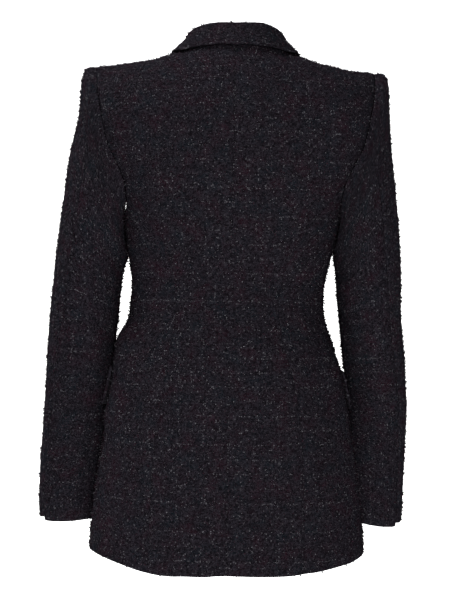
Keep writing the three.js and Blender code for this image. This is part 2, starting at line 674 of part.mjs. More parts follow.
// The collar: a stand that rises from the neck seam and a fall that turns down over it
function collarGeometry() {
  const half = collarStations.map(({ x, arc, lift, ...station }) => {
    const seam = new THREE.Vector3(...station.seam);
    const roll = new THREE.Vector3(...station.roll);
    const onShoulder = shoulderArcPoint(x, arc);
    const edge = onShoulder.clone().addScaledVector(surfaceNormal(onShoulder), lift);
    const fall = collarFall.map((t) => standClear(roll.clone().lerp(edge, t), lift));
    return turnedProfile(seam, roll, [...fall, edge]);
  });
  const mirrored = half.slice(1).map(({ line, tip, out }) => {
    const flip = (v) => new THREE.Vector3(-v.x, v.y, v.z);
    return { line: line.map(flip), tip: flip(tip), out: flip(out) };
  });
  const profiles = [...mirrored.reverse(), ...half];
  return wallGeometry(profiles.map(profileCells), cloth, 1);
}

// A lapel: it turns at the front's inner edge and lies on the front, a little proud
function lapelGeometry(side) {
  const legShares = [0.16, 0.4, 0.7, 1];
  const under = side === LEFT;
  const start = breakHeight + 8;
  const frontHeights = frontGrid(side).map((row) => row[0].point.z);
  const heights = [start, ...frontHeights.filter((z) => z > start && z < lapelTop)];
  const top = heights[heights.length - 1];
  const profiles = heights.map((z) => {
    const t = (z - heights[0]) / (top - heights[0]);
    const x = frontEdge(z);
    const place = (px, pz, lift) => clothPoint(surfacePoint(px, pz, -1), side, { lift, under }).point;
    const half = cloth / 2;
    const seam = place(x - 1.3, z, -half);
    const roll = place(x - 1.5 - rollRadius, z, rollRadius - half);
    const edgeX = read(lapelEdge, "t", "x", t);
    const edgeZ = read(lapelEdge, "t", "z", t);
    const leg = legShares.map((share) => {
      const proud = mix(lapelLift.roll, lapelLift.edge, share) + half;
      return place(mix(x, edgeX, share), mix(z, edgeZ, share), proud);
    });
    return turnedProfile(seam, roll, leg);
  });
  return wallGeometry(profiles.map(profileCells), cloth, side);
}

// A pocket flap on the hip, standing off towards its lower edge
function flapGeometry(side) {
  const rows = 3;
  const cols = 8;
  const grid = Array.from({ length: rows + 1 }, (_, i) => {
    const t = i / rows;
    const z = mix(flap.bottom, flap.top, t);
    const from = ringAngle(flap.frontX, z, -1);
    const to = ringAngle(sideX(flap.backY, z), z, 1);
    return Array.from({ length: cols + 1 }, (_, k) => {
      const angle = mix(from, to, k / cols);
      const lift = flap.stand + flap.kick * (1 - t) + flap.thick;
      return clothPoint(ringPoint(angle, z), side, { lift });
    });
  });
  return wallGeometry(grid, flap.thick, side);
}

// Distance from the middle of the ring at a depth y behind the origin
function sideX(y, z) {
  const power = section(z, "square");
  return section(z, "half") * (1 - Math.abs(y / section(z, "back")) ** power) ** (1 / power);
}

// A front button on its stem
function buttonMesh(name, z) {
  const { radius, thick, stem, lift, rim, dish } = button;
  const top = lift + thick;
  const profile = [
    ...[[0, 0], [stem, 0], [stem, lift], [radius - rim, lift], [radius, lift + rim]],
    ...[[radius, top - rim], [radius - rim, top], [radius - 3 * rim, top]],
    ...[[radius - 4 * rim, top - dish], [0, top - dish]],
  ].map(([r, h]) => new THREE.Vector2(r, h));
  const mesh = new THREE.Mesh(new THREE.LatheGeometry(profile, 20), horn);
  const { point, normal } = clothPoint(surfacePoint(0, z, -1), LEFT, { lift: 0.35 });
  mesh.quaternion.setFromUnitVectors(new THREE.Vector3(0, 1, 0), normal);
  mesh.position.copy(point);
  mesh.name = name;
  return mesh;
}

function addSleeve(group, side, word) {
  const rings = sleeveRings(side);
  const count = rings[0].length;
  const frontSeam = count - (rowHeights.length - armholeRow - 1) - shoulderRows + 1;
  const under = sleevePiece(rings, sleeveBackSeam, frontSeam, { first: true });
  const upper = sleevePiece(rings, frontSeam, count + sleeveBackSeam, { last: true, raise: true });
  const seams = { first: true, last: true };
  addPiece(group, `sleeve_under_${word}`, wallGeometry(under, cloth, side, seams));
  addPiece(group, `sleeve_upper_${word}`, wallGeometry(upper, cloth, side, seams));
}

const blazer = new THREE.Group();
for (const [side, word] of [[LEFT, "left"], [RIGHT, "right"]]) {
  const seams = { first: true, last: true };
  addPiece(blazer, `back_${word}`, wallGeometry(backGrid(side), cloth, side, seams));
  addPiece(blazer, `side_${word}`, wallGeometry(sideGrid(side), cloth, side, { ...seams, top: true }));
  addPiece(blazer, `front_${word}`, wallGeometry(frontGrid(side), cloth, side, { last: true }));
  addPiece(blazer, `lapel_${word}`, lapelGeometry(side));
  addPiece(blazer, `pocket_flap_${word}`, flapGeometry(side));
  addSleeve(blazer, side, word);
}
addPiece(blazer, "collar", collarGeometry());
button.heights.forEach((z, i) => blazer.add(buttonMesh(`button_${i + 1}`, z)));

export default blazer;
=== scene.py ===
from math import pi, radians

import bpy
import numpy as np
from mathutils import Matrix, Vector, noise


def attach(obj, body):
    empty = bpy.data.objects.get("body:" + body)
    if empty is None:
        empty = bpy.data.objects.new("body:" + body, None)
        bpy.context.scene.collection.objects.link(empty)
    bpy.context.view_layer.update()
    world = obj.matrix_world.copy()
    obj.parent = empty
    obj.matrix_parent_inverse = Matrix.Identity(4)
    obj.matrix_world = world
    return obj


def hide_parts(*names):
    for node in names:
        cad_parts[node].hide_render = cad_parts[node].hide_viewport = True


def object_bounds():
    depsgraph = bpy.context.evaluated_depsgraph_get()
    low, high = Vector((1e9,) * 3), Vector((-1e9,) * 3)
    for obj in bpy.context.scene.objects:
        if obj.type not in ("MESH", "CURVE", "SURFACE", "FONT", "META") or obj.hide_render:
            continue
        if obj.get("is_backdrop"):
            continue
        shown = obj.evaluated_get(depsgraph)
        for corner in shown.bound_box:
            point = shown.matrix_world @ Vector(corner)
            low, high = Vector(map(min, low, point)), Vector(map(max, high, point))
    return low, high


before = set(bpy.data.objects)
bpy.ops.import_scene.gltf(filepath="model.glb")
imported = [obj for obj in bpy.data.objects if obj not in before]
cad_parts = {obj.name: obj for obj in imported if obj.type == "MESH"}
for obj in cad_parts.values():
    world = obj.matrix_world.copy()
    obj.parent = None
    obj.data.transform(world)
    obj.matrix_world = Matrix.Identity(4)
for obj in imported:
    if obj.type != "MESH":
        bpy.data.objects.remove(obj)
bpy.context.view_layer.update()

# A black boucle tweed blazer with square shoulders, a nipped waist and a flared skirt.
# Sizes are in millimetres until a mesh is made. The front faces -Y, +X is the wearer's left.
# Every panel is worked out on its own side, where x grows outwards, and mirrored at the end.

mm = 0.001
left, right = 1, -1
sides = ((left, "left"), (right, "right"))

# the camera comes first, so that the view is settled before any cloth
cameraSettings = {
    "distance": 2.25,      # metres behind the shoulders
    "height": -0.34,
    "aside": 0.0084,
    "lens": 96.43,
    "sensor": 36,          # millimetres along the picture's long side
    "sight": 60,           # metres that it sees
    "lean": 1.04,          # degrees
}
print("camera")
cameraData = bpy.data.cameras.new("studioCamera")
cameraData.lens = cameraSettings["lens"]
cameraData.sensor_width = cameraSettings["sensor"]
cameraData.clip_end = cameraSettings["sight"]
camera = bpy.data.objects.new("studioCamera", cameraData)
bpy.context.scene.collection.objects.link(camera)
bpy.context.scene.camera = camera
camera.matrix_world = (
    Matrix.Translation((cameraSettings["aside"], cameraSettings["distance"], cameraSettings["height"]))
    @ Matrix.Rotation(pi, 4, "Z")
    @ Matrix.Rotation(pi / 2, 4, "X")
    @ Matrix.Rotation(radians(cameraSettings["lean"]), 4, "Z")
)

# body sections from hem to neck: height, half width, depth behind, depth before, squareness
bodySections = np.array([
    (-705, 192, 144, 133, 2.5),
    (-683, 190.5, 142, 132, 2.5),
    (-641, 187.5, 138.5, 131, 2.5),
    (-587, 181, 132.5, 128.5, 2.5),
    (-543, 174.5, 126.5, 126, 2.5),
    (-512, 168, 121, 123.5, 2.5),
    (-473, 159.5, 113, 119.5, 2.5),
    (-433, 154, 104, 114, 2.45),
    (-403, 148.5, 95.5, 108, 2.4),
    (-378, 140, 87.5, 101, 2.3),
    (-350, 135, 82, 96.5, 2.25),
    (-325, 134, 80, 95, 2.25),
    (-290, 139.5, 83, 99, 2.25),
    (-250, 147.5, 91, 109, 2.3),
    (-210, 156, 98.5, 116, 2.35),
    (-181, 167, 102.5, 117, 2.4),
    (-151, 182, 105, 114, 2.4),
    (-125, 193, 105.5, 109, 2.4),
    (-95, 202, 104, 103, 2.4),
    (-55, 208, 99, 97, 2.4),
    (10, 212, 86, 90, 2.4),
    (40, 213, 80, 88, 2.4),
])
# where the worn waist stands towards the wearer's left: height, shift
waistSway = np.array([(-450, 0.5), (-400, 4.5), (-355, 5.5), (-312, 4.2), (-270, 2.6), (-205, 0)])
# the shoulder line, and inside the neck the line that the upper back runs on to: distance out, height
shoulderLine = np.array([
    (0, 36), (8, 36), (40, 25), (60, 13.5), (74, 5.5), (98, 0), (118, -6), (145, -12), (170, -16.5),
    (196, -20),
])
# seams down the body: height, distance from the middle
backSeam = np.array([
    (-688, 104), (-555, 101), (-450, 88), (-398, 77), (-345, 70), (-312, 74), (-280, 84), (-248, 101),
    (-214, 126), (-181, 153.5),
])
frontSeam = np.array([
    (-688, 163), (-555, 150), (-450, 131), (-398, 121), (-345, 112), (-312, 113), (-280, 119), (-248, 129),
    (-214, 141), (-181, 150),
])
backArmhole = np.array([(-181, 153.5), (-151, 167), (-129, 178), (-90, 187), (-56, 192.5), (-20, 195)])
frontArmhole = np.array([(-181, 150), (-151, 160), (-129, 168), (-90, 180), (-56, 190), (-20, 195)])
# the wearer's left back is the narrower one: how far its seam and armhole stand in
leftBackIn = np.array([(-260, 0), (-205, 3.6), (-165, 4.5), (-80, 4.5), (-45, 2.6), (-20, 0)])

# worn, the two sides aren't quite alike: distance out, height of the shoulder line and hem above the cut
shoulderUneven = {
    left: np.array([
        (0, 0), (85, 0), (105, -1.8), (125, -0.4), (139, 0.5), (168, 1.3), (188, 2.2), (200, 1.4),
    ]),
    right: np.array([
        (0, 0), (90, -0.6), (112, -2.2), (135, -1.6), (155, -2.2), (170, -1), (189, 0.4), (200, 0),
    ]),
}
hemUneven = {
    left: np.array([
        (0, 2.3), (14, 1.6), (30, 0), (54, -0.6), (70, -2.2), (90, -3), (108, -2.4), (125, -1.1),
        (145, 0.6), (165, 1.3), (182, 0.9),
    ]),
    right: np.array([
        (0, 2.3), (20, 1.8), (45, 0.9), (70, 0), (90, -0.5), (105, 0), (120, -0.8), (150, -0.9),
        (170, -2.2), (182, -1.5),
    ]),
}

bodyCut = {
    "cloth": 2.4,
    "neckHalf": 74,
    "shoulderHalf": 195,
    "shoulderBase": -100,      # the shoulders round over above this height
    "shoulderRound": 2.2,
    "leastDepth": 0.02,        # of the shoulders at the very side, as a share
    "backHeight": 10,          # top of the centre back seam
    "frontHeight": 5.5,        # and of a front's inner edge
    "neckShare": 0.375,        # of the upper edge of a back panel
    "neckRound": 0.9,
    "hem": -685,
    "hemDip": (19.4, 5, 2.3),  # behind, before, sharpness
    "hemDipTop": -540,
    "underarm": -181,
    "underarmDip": -44,        # of a side panel's upper edge
    "underarmRound": 0.8,
    "dipReach": -330,          # the rows dip with it above this height
    "overlap": 22,             # of a front past the middle
    "breakHeight": -300,       # the lapels start to turn here
    "edgePull": 4,             # how soon a seam's own line gives way to the panel's above the underarm
    "unevenTop": (0.55, 1),    # of the rise to the shoulder line, where its unevenness grows
    "unevenLow": (-705, -600),  # heights over which the hem's dies away
    "unevenBehind": (0, 50),   # and distances behind the middle over which it grows
    "foldEnd": 28,             # folds die away this near the side
    "columns": {"back": 28, "side": 28, "front": 30},
    "rows": {"body": 84, "armhole": 14, "shoulder": 25},
    "rowStart": 8,             # from a row's edge to the first even one
    "edgeSteps": (0, 0.5, 1.2, 2.2, 3.6),  # places of the first rows and columns at every edge
    "press": {"seam": (1.1, 2.2), "armhole": (0.35, 2.4)},  # depth and width of a seam's groove
    "edgeRound": 0.82,         # of a turned edge, from square to round
    "turning": {"out": 0.45, "outEnd": (27, 34), "in": 1.2, "inEnd": (29, 31)},  # a hem's second layer
    "uneven": ((0.022, 0.75), (0.07, 0.3)),  # scale and share of the cloth's unevenness over its padding
}
# how far the under front gives way to the one that laps over it
underGive = {
    "plain": 3.4,
    "lapel": 8.8,              # where a lapel lies between
    "lapelFrom": (-350, -305),
    "end": (-215, -140),
    "hem": 1.6,
    "hemEnd": (-655, -645),
    "reach": (26, 74),         # distances out over which it ends
}

# soft folds: facing, side, from x z, to x z, depth, width. A fullness has a depth below zero.
bodyFolds = [
    (1, left, 80, -45, 110, -135, 3, 20),
    (1, right, 111, -83, 110, -175, 2.2, 20),
    (1, left, 20, -256, 88, -272, 2, 18),
    (1, right, 60, -300, 118, -330, 1.8, 18),
    (-1, left, 146, -399, 157, -429, -9.2, 24),
    (1, left, 144, -396, 160, -500, -8.5, 22),
    (1, right, 150, -440, 158, -490, -4, 20),
    (-1, left, 130, -230, 75, -318, 2, 22),
    (-1, right, 128, -238, 70, -312, 2.2, 22),
]
# sleeve folds: side, from ring and degrees, to ring and degrees, depth, width in rings
sleeveFolds = [
    (left, 4.2, 50, 6.2, 118, 3, 0.9),
    (left, 8.6, 60, 9.5, 150, 2.4, 0.8),
    (right, 4.6, 70, 6.4, 130, 2.6, 0.9),
    (right, 9.2, 40, 10.4, 130, 2.4, 0.8),
    (left, 9.8, 250, 9.1, 330, 3, 0.8),
    (right, 9.9, 245, 9.2, 325, 2.8, 0.8),
]


def mix(a, b, t):
    return a + (b - a) * t


def ease(low, high, at):
    t = np.clip((at - low) / (high - low), 0, 1)
    return t * t * (3 - 2 * t)


def signedPower(value, power):
    return np.sign(value) * np.abs(value) ** power


def unit(vectors):
    return vectors / np.maximum(np.linalg.norm(vectors, axis=-1, keepdims=True), 1e-9)


def read(table, column, at):
    # a column of a table at any value of its first column, smooth and without overshoot
    keys, values = table[:, 0], table[:, column]
    step = np.diff(keys)
    slope = np.diff(values) / step
    before, after = slope[:-1], slope[1:]
    agree = before * after > 0
    middle = np.where(agree, 2 * before * after / np.where(agree, before + after, 1), 0)
    tangent = np.concatenate([slope[:1], middle, slope[-1:]])
    at = np.clip(np.asarray(at, float), keys[0], keys[-1])
    i = np.clip(np.searchsorted(keys, at) - 1, 0, len(step) - 1)
    t = (at - keys[i]) / step[i]
    return (
        (2 * t**3 - 3 * t**2 + 1) * values[i]
        + (t**3 - 2 * t**2 + t) * step[i] * tangent[i]
        + (3 * t**2 - 2 * t**3) * values[i + 1]
        + (t**3 - t**2) * step[i] * tangent[i + 1]
    )


def halfWidth(z):
    return read(bodySections, 1, z)


def halfDepth(z, behind):
    return np.where(behind, read(bodySections, 2, z), read(bodySections, 3, z))


def squareness(z):
    return read(bodySections, 4, z)


def sectionDepth(x, z, facing):
    power = squareness(z)
    rest = np.maximum(0, 1 - np.abs(x / halfWidth(z)) ** power)
    return halfDepth(z, facing > 0) * rest ** (1 / power)


def shoulderRise(x, z):
    base = bodyCut["shoulderBase"]
    return (z - base) / (read(shoulderLine, 1, np.abs(x)) - base)


def backEdge(z, side):
    edge = np.where(z <= bodyCut["underarm"], read(backSeam, 1, z), read(backArmhole, 1, z))
    return edge - (read(leftBackIn, 1, z) if side == left else 0)


def surfacePoint(x, z, facing):
    x, z = np.broadcast_arrays(np.asarray(x, float), np.asarray(z, float))
    roundness = bodyCut["shoulderRound"]
    fall = (1 - np.clip(shoulderRise(x, z), 0, 1) ** roundness) ** (1 / roundness)
    return np.stack([x, facing * sectionDepth(x, z, facing) * fall, z], -1)


def ringPoint(angle, z):
    # angles run round the body from the centre back by the side to the front
    angle, z = np.broadcast_arrays(np.asarray(angle, float), np.asarray(z, float))
    power = squareness(z)
    depth = halfDepth(z, np.cos(angle) > 0)
    x = halfWidth(z) * signedPower(np.sin(angle), 2 / power)
    return np.stack([x, depth * signedPower(np.cos(angle), 2 / power), z], -1)


def ringAngle(x, z, facing):
    share = signedPower(np.clip(x / halfWidth(z), -1, 1), squareness(z) / 2)
    angle = np.arcsin(share)
    return angle if facing > 0 else pi - angle


def bodyField(points, high):
    # zero on the surface and growing outwards
    x, y, z = points[..., 0], points[..., 1], points[..., 2]
    power = squareness(z)
    depth = halfDepth(z, y >= 0)
    wide = np.abs(x / halfWidth(z)) ** power
    reach = depth * np.maximum(bodyCut["leastDepth"], 1 - wide) ** (1 / power)
    roundness = bodyCut["shoulderRound"]
    onShoulder = (np.abs(y) / reach) ** roundness + np.maximum(0, shoulderRise(x, z)) ** roundness - 1
    return np.where(high, onShoulder, wide + np.abs(y / depth) ** power - 1)


def onShoulders(points):
    return points[..., 2] > bodyCut["shoulderBase"] + 0.01  # a row on the base itself is still below


def fieldSlope(points, step=0.2):
    high = onShoulders(points)
    slopes = []
    for axis in range(3):
        move = np.zeros(3)
        move[axis] = step
        slopes.append(bodyField(points + move, high) - bodyField(points - move, high))
    return np.stack(slopes, -1) / (2 * step)


def standClear(points, height):
    # moves points out until they are clear of the surface by a height
    clear = points.copy()
    for _ in range(3):
        slope = fieldSlope(clear)
        away = bodyField(clear, onShoulders(clear)) / np.linalg.norm(slope, axis=-1)
        clear += unit(slope) * np.maximum(0, height - away)[..., None]
    return clear


def foldDepth(deep, wide, u, v, u0, v0, u1, v1):
    du, dv = u1 - u0, v1 - v0
    nearest = np.clip(((u - u0) * du + (v - v0) * dv) / (du * du + dv * dv), 0, 1)
    away = np.hypot(u - u0 - du * nearest, v - v0 - dv * nearest)
    return deep * np.exp(-((away / wide) ** 2))


def clothPoint(points, side, lift=0, under=False):
    # the cloth's outer points with their normals, folded, moved out by lift and swayed at the waist
    normals = unit(fieldSlope(points))
    x, y, z = points[..., 0], points[..., 1], points[..., 2]
    give = np.zeros(x.shape)
    for facing, foldSide, x0, z0, x1, z1, deep, wide in bodyFolds:
        if foldSide == side:
            here = np.where(y >= 0, 1, -1) == facing
            give += np.where(here, foldDepth(deep, wide, x, z, x0, z0, x1, z1), 0)
    give *= ease(0, bodyCut["foldEnd"], np.abs(y))
    if under:
        deep = mix(underGive["plain"], underGive["lapel"], ease(*underGive["lapelFrom"], z))
        deep = deep * (1 - ease(*underGive["end"], z))
        deep += underGive["hem"] * (1 - ease(*underGive["hemEnd"], z))
        give += deep * (1 - ease(*underGive["reach"], x))
    placed = points + normals * (lift - give)[..., None]
    placed[..., 0] += side * read(waistSway, 1, z)
    top = ease(*bodyCut["unevenTop"], shoulderRise(x, z))
    low = 1 - ease(*bodyCut["unevenLow"], z)
    placed[..., 2] += read(shoulderUneven[side], 1, x) * top
    placed[..., 2] += read(hemUneven[side], 1, x) * low * ease(*bodyCut["unevenBehind"], y)
    return placed, normals


def lengthsAlong(points, axis=0):
    # how far each point lies from the first one, along an axis of the grid
    steps = np.linalg.norm(np.diff(points, axis=axis), axis=-1)
    start = np.zeros_like(np.take(steps, [0], axis=axis))
    return np.concatenate([start, np.cumsum(steps, axis=axis)], axis=axis)


def spread(total, count):
    # distances across a piece, close together near its edges, where cloth is pressed or turned
    near = np.array(bodyCut["edgeSteps"])
    even = np.linspace(near[-1], total - near[-1], count)[1:-1]
    return np.concatenate([near, even, total - near[::-1]])


def rowAngles(start, end, z, count):
    angles = np.linspace(start, end, 65)  # fine enough to measure the row by
    reach = lengthsAlong(ringPoint(angles, z))
    return np.interp(spread(reach[-1], count), reach, angles)


def hemDrop(angle, z):
    behind, before, sharpness = bodyCut["hemDip"]
    dip = np.where(np.cos(angle) > 0, behind, before)
    return -dip * np.abs(np.cos(angle)) ** sharpness * (1 - ease(bodyCut["hem"], bodyCut["hemDipTop"], z))


def frontEdge(z):
    low = bodyCut["breakHeight"]
    share = np.clip((z - low) / (bodyCut["frontHeight"] - low), 0, 1)
    return mix(-bodyCut["overlap"], bodyCut["neckHalf"], share)


# heights of the rows, and above them each row's share of the turn up to the shoulder seam
edgeSteps = np.array(bodyCut["edgeSteps"])
hem, underarm, rowStart = bodyCut["hem"], bodyCut["underarm"], bodyCut["rowStart"]
lowHeights = np.concatenate([
    hem + edgeSteps,
    np.linspace(hem + rowStart, underarm - rowStart, bodyCut["rows"]["body"]),
    underarm - edgeSteps[::-1],
])
armholeRow = len(lowHeights) - 1
armholeHeights = np.linspace(underarm, bodyCut["shoulderBase"], bodyCut["rows"]["armhole"])
bodyHeights = np.concatenate([lowHeights, armholeHeights[1:]])
shoulderShares = np.concatenate([np.linspace(0, 1, bodyCut["rows"]["shoulder"])[1:-1], [0.98, 0.992, 1]])


def shoulderRows(facing, base, topX, topZ, innerLine, outerLine):
    # each column rises from its place at the shoulders' base to the shoulder seam or the neck
    roundness, baseHeight = bodyCut["shoulderRound"], bodyCut["shoulderBase"]
    share = lengthsAlong(base)
    share = share / share[-1]
    topRise = np.clip(shoulderRise(topX, topZ), 0, 1)
    fullTurn = np.arcsin(topRise ** (roundness / 2))
    rows, pull = [], bodyCut["edgePull"]
    for part in shoulderShares:
        rise = np.sin(part * fullTurn) ** (2 / roundness) / topRise
        z = mix(baseHeight, topZ, rise)
        x = mix(base[:, 0], topX, rise)
        x = x + (innerLine(z[0]) - x[0]) * (1 - share) ** pull + (outerLine(z[-1]) - x[-1]) * share**pull
        rows.append(surfacePoint(x, z, facing))
    return rows


def backSurface(side):
    rows = []
    for z in bodyHeights:
        angles = rowAngles(0, ringAngle(backEdge(z, side), z, 1), z, bodyCut["columns"]["back"])
        rows.append(ringPoint(angles, z + hemDrop(angles, z)))
    share = lengthsAlong(rows[-1])
    share = share / share[-1]
    neckShare, neckHalf = bodyCut["neckShare"], bodyCut["neckHalf"]
    onNeck = np.clip(share / neckShare, 0, 1)
    onShoulder = np.clip((share - neckShare) / (1 - neckShare), 0, 1)
    neckX = neckHalf * onNeck ** bodyCut["neckRound"]
    neckZ = mix(bodyCut["backHeight"], read(shoulderLine, 1, neckHalf), onNeck**2)
    topX = np.where(share < neckShare, neckX, mix(neckHalf, bodyCut["shoulderHalf"], onShoulder))
    topZ = np.where(share < neckShare, neckZ, read(shoulderLine, 1, topX))
    rows += shoulderRows(1, rows[-1], topX, topZ, lambda z: 0, lambda z: backEdge(z, side))
    return clothPoint(np.stack(rows), side)


def sideSurface(side):
    rows = []
    for z in lowHeights:
        start, end = ringAngle(backEdge(z, side), z, 1), ringAngle(read(frontSeam, 1, z), z, -1)
        angles = rowAngles(start, end, z, bodyCut["columns"]["side"])
        reach = lengthsAlong(ringPoint(angles, z))
        dip = np.sin(pi * np.clip(reach / reach[-1], 0, 1)) ** bodyCut["underarmRound"]
        height = z + hemDrop(angles, z)
        height = height + bodyCut["underarmDip"] * dip * ease(bodyCut["dipReach"], bodyCut["underarm"], z)
        # a column keeps its share of the panel where its row dips
        lowStart = ringAngle(backEdge(height, side), height, 1)
        lowEnd = ringAngle(read(frontSeam, 1, height), height, -1)
        share = (angles - start) / (end - start)
        angles = mix(mix(lowStart, lowEnd, share), angles, np.abs(2 * share - 1) ** 2)
        rows.append(ringPoint(angles, height))
    return clothPoint(np.stack(rows), side)


def frontSurface(side):
    rows = []
    for z in bodyHeights:
        edge = frontSeam if z <= bodyCut["underarm"] else frontArmhole
        start, end = ringAngle(frontEdge(z), z, -1), ringAngle(read(edge, 1, z), z, -1)
        angles = rowAngles(start, end, z, bodyCut["columns"]["front"])
        rows.append(ringPoint(angles, z + hemDrop(angles, z)))
    share = lengthsAlong(rows[-1])
    topX = mix(bodyCut["neckHalf"], bodyCut["shoulderHalf"], share / share[-1])
    armhole = lambda z: read(frontArmhole, 1, z)
    rows += shoulderRows(-1, rows[-1], topX, read(shoulderLine, 1, topX), frontEdge, armhole)
    return clothPoint(np.stack(rows), side, under=side == left)


# the sleeve's rings from armhole to cuff: ring, out x z, in x z, middle y, half depth, turn in degrees
sleeveRings = np.array([
    (0, 195, -20, 152, -225, -4, 57, 0),
    (1, 206, -20, 151.6, -233, -4, 58, 0),
    (2, 213, -28.5, 148.6, -245, -4, 59, 1),
    (3, 216, -46, 145.4, -257, -4, 60, 3),
    (4, 218, -84, 142.5, -269, -4, 60.5, 5),
    (5, 221.5, -130, 142.5, -283, -5, 60.5, 8),
    (6, 228, -182, 144.5, -298, -8, 60, 9),
    (7, 234.5, -240, 146.5, -318, -12, 59, 9),
    (8, 238.5, -295, 150, -342, -17, 57.5, 7),
    (9, 241.5, -345, 154.5, -374, -24, 55.5, 4),
    (10, 246, -395, 157.5, -410, -33, 53.5, 1),
    (11, 251, -445, 164, -450, -44, 51.5, -2),
    (12, 254.5, -495, 169, -495, -56, 49.5, -5),
    (13, 254.5, -545, 170, -543, -67, 47.5, -8),
    (14, 254, -595, 171, -592, -77, 46, -11),
    (15, 253, -640, 171.5, -637, -85, 44.5, -13),
    (16, 252.5, -662, 171.5, -660, -89, 44, -14),
])
sleeveCut = {
    # the left sleeve hangs a little further out than the right one, ring by ring
    "leftOut": (0, -0.6, -0.9, -1, 0, 6.4, 7.2, 8, 10.6, 12.8, 11.8, 10.2, 10.2, 13.4, 18, 19.5, 19.5),
    "leftIn": (0, 1.8, 2.9, 4, 4.8, 2.5, 5, 6.5, 7, 4, 3.6, 3.6, 3.6, 7, 13.5, 18, 19.5),
    "armholePull": np.array([(0, 1), (1, 0.9), (2, 0.68), (3, 0.42), (4, 0.2), (5, 0.06), (6, 0)]),
    "columns": 104,
    "ringTurn": 60,        # degrees round the sleeve that are about as long as from ring to ring
    "backSeam": -57.4,     # height at which each long seam meets the armhole
    "frontSeam": -153,
    "gap": -0.3,           # tucked under the body's edge
    "ventLift": 4,         # of the upper piece's corner at the slit
    "ventLiftWidth": 12,
    "ventOpen": 1.4,
    "ventWidth": 9,
    "ventRings": (14, 16),  # the slit opens from the first to the cuff
    "cornerRings": (15, 16),
    "cornerLift": {left: (7, 2), right: (11, 8)},  # the cuff's outer and inner corners, seen from behind
    "cornerWidth": (0.6, 1.1),                     # radians round the cuff
}
# the rows' places between the rings, close together near the armhole and the cuff
sleeveRows = np.concatenate([
    (0, 0.05, 0.12, 0.22, 0.34), np.linspace(0.5, 15.75, 98), (15.83, 15.91, 15.96, 15.985, 16),
])


def evenLoop(points, normals, count):
    # a closed line resampled at even distances from its first point
    closed = np.concatenate([points, points[:1]])
    closedNormals = np.concatenate([normals, normals[:1]])
    reach = lengthsAlong(closed)
    want = np.linspace(0, reach[-1], count + 1)[:-1]
    resample = lambda values: np.stack([np.interp(want, reach, values[:, a]) for a in range(3)], -1)
    return resample(closed), unit(resample(closedNormals))


def sleeveSurface(side, loop, loopNormals):
    table = sleeveRings.copy()
    if side == left:
        table[:, 1] += sleeveCut["leftOut"]
        table[:, 3] += sleeveCut["leftIn"]
    points, normals = evenLoop(loop, loopNormals, sleeveCut["columns"])
    lowest = int(np.argmin(points[:, 2]))
    outTop, inTop = table[0, 2], table[0, 4]
    turns = np.arccos(np.clip(2 * (points[:, 2] - inTop) / (outTop - inTop) - 1, -1, 1))
    turns[0] = 0
    turns[lowest + 1:] = 2 * pi - turns[lowest + 1:]

    def oval(ring, angle):
        outX, outZ, inX, inZ, y, depth = (read(table, column, ring) for column in range(1, 7))
        return np.stack([
            (outX + inX) / 2 + (outX - inX) / 2 * np.cos(angle),
            y + depth * np.sin(angle),
            (outZ + inZ) / 2 + (outZ - inZ) / 2 * np.cos(angle),
        ], -1)

    tangent = np.roll(points, -1, 0) - np.roll(points, 1, 0)
    starts = points + unit(np.cross(tangent, normals)) * sleeveCut["gap"]
    rings = sleeveRows[:, None]
    angle = turns[None, :] + np.radians(read(table, 7, rings))
    pull = read(sleeveCut["armholePull"], 1, rings)
    grid = oval(rings, angle) + (starts - oval(np.zeros(1), turns))[None] * pull[..., None]
    down = np.gradient(grid, sleeveRows, axis=0)
    around = np.roll(grid, -1, 1) - np.roll(grid, 1, 1)
    outward = unit(np.cross(down, around))
    for foldSide, ring0, angle0, ring1, angle1, deep, wide in sleeveFolds:
        if foldSide == side:
            ringTurn = sleeveCut["ringTurn"]
            across = np.degrees(turns)[None, :] / ringTurn
            start, end = angle0 / ringTurn, angle1 / ringTurn
            give = foldDepth(deep, wide, rings, across, ring0, start, ring1, end)
            grid = grid - outward * give[..., None]
    outLift, inLift = sleeveCut["cornerLift"][side]
    outWidth, inWidth = sleeveCut["cornerWidth"]
    wrapped = np.minimum(turns, 2 * pi - turns)
    lift = outLift * np.exp(-((wrapped / outWidth) ** 2))
    lift += inLift * np.exp(-(((pi - wrapped) / inWidth) ** 2))
    grid[..., 2] += ease(*sleeveCut["cornerRings"], rings) * lift[None]
    backColumn = int(np.argmin(np.abs(points[:lowest, 2] - sleeveCut["backSeam"])))
    frontColumn = lowest + int(np.argmin(np.abs(points[lowest:, 2] - sleeveCut["frontSeam"])))
    return grid, outward, backColumn, frontColumn


def sleeveHalf(grid, outward, start, end, slitAtFirst):
    # one cut piece of a sleeve, with more columns near its seams and a slit at the cuff
    columns = np.arange(start, end + 1) % grid.shape[1]
    points, normals = grid[:, columns], outward[:, columns]
    reach = lengthsAlong(points, 1)
    width = reach[:, -1:]
    slit = ease(*sleeveCut["ventRings"], sleeveRows)[:, None] * sleeveCut["ventOpen"]
    count = len(columns)
    wanted = np.stack([spread(total, count) for total in width[:, 0]])
    toSlit = wanted if slitAtFirst else width - wanted
    inset = slit * np.exp(-(toSlit / sleeveCut["ventWidth"]) ** 2)
    wanted = wanted + (inset if slitAtFirst else -inset)
    fine = lambda values: np.stack([
        np.stack([np.interp(wanted[j], reach[j], values[j, :, a]) for a in range(3)], -1)
        for j in range(len(values))
    ])
    points, normals = fine(points), unit(fine(normals))
    if not slitAtFirst:
        near = np.exp(-(((width - wanted) / sleeveCut["ventLiftWidth"]) ** 2))
        near = near * ease(*sleeveCut["cornerRings"], sleeveRows)[:, None]
        points[..., 2] += sleeveCut["ventLift"] * near
    return points, normals


def mirrored(points, side):
    return points * np.array([side, 1, 1])


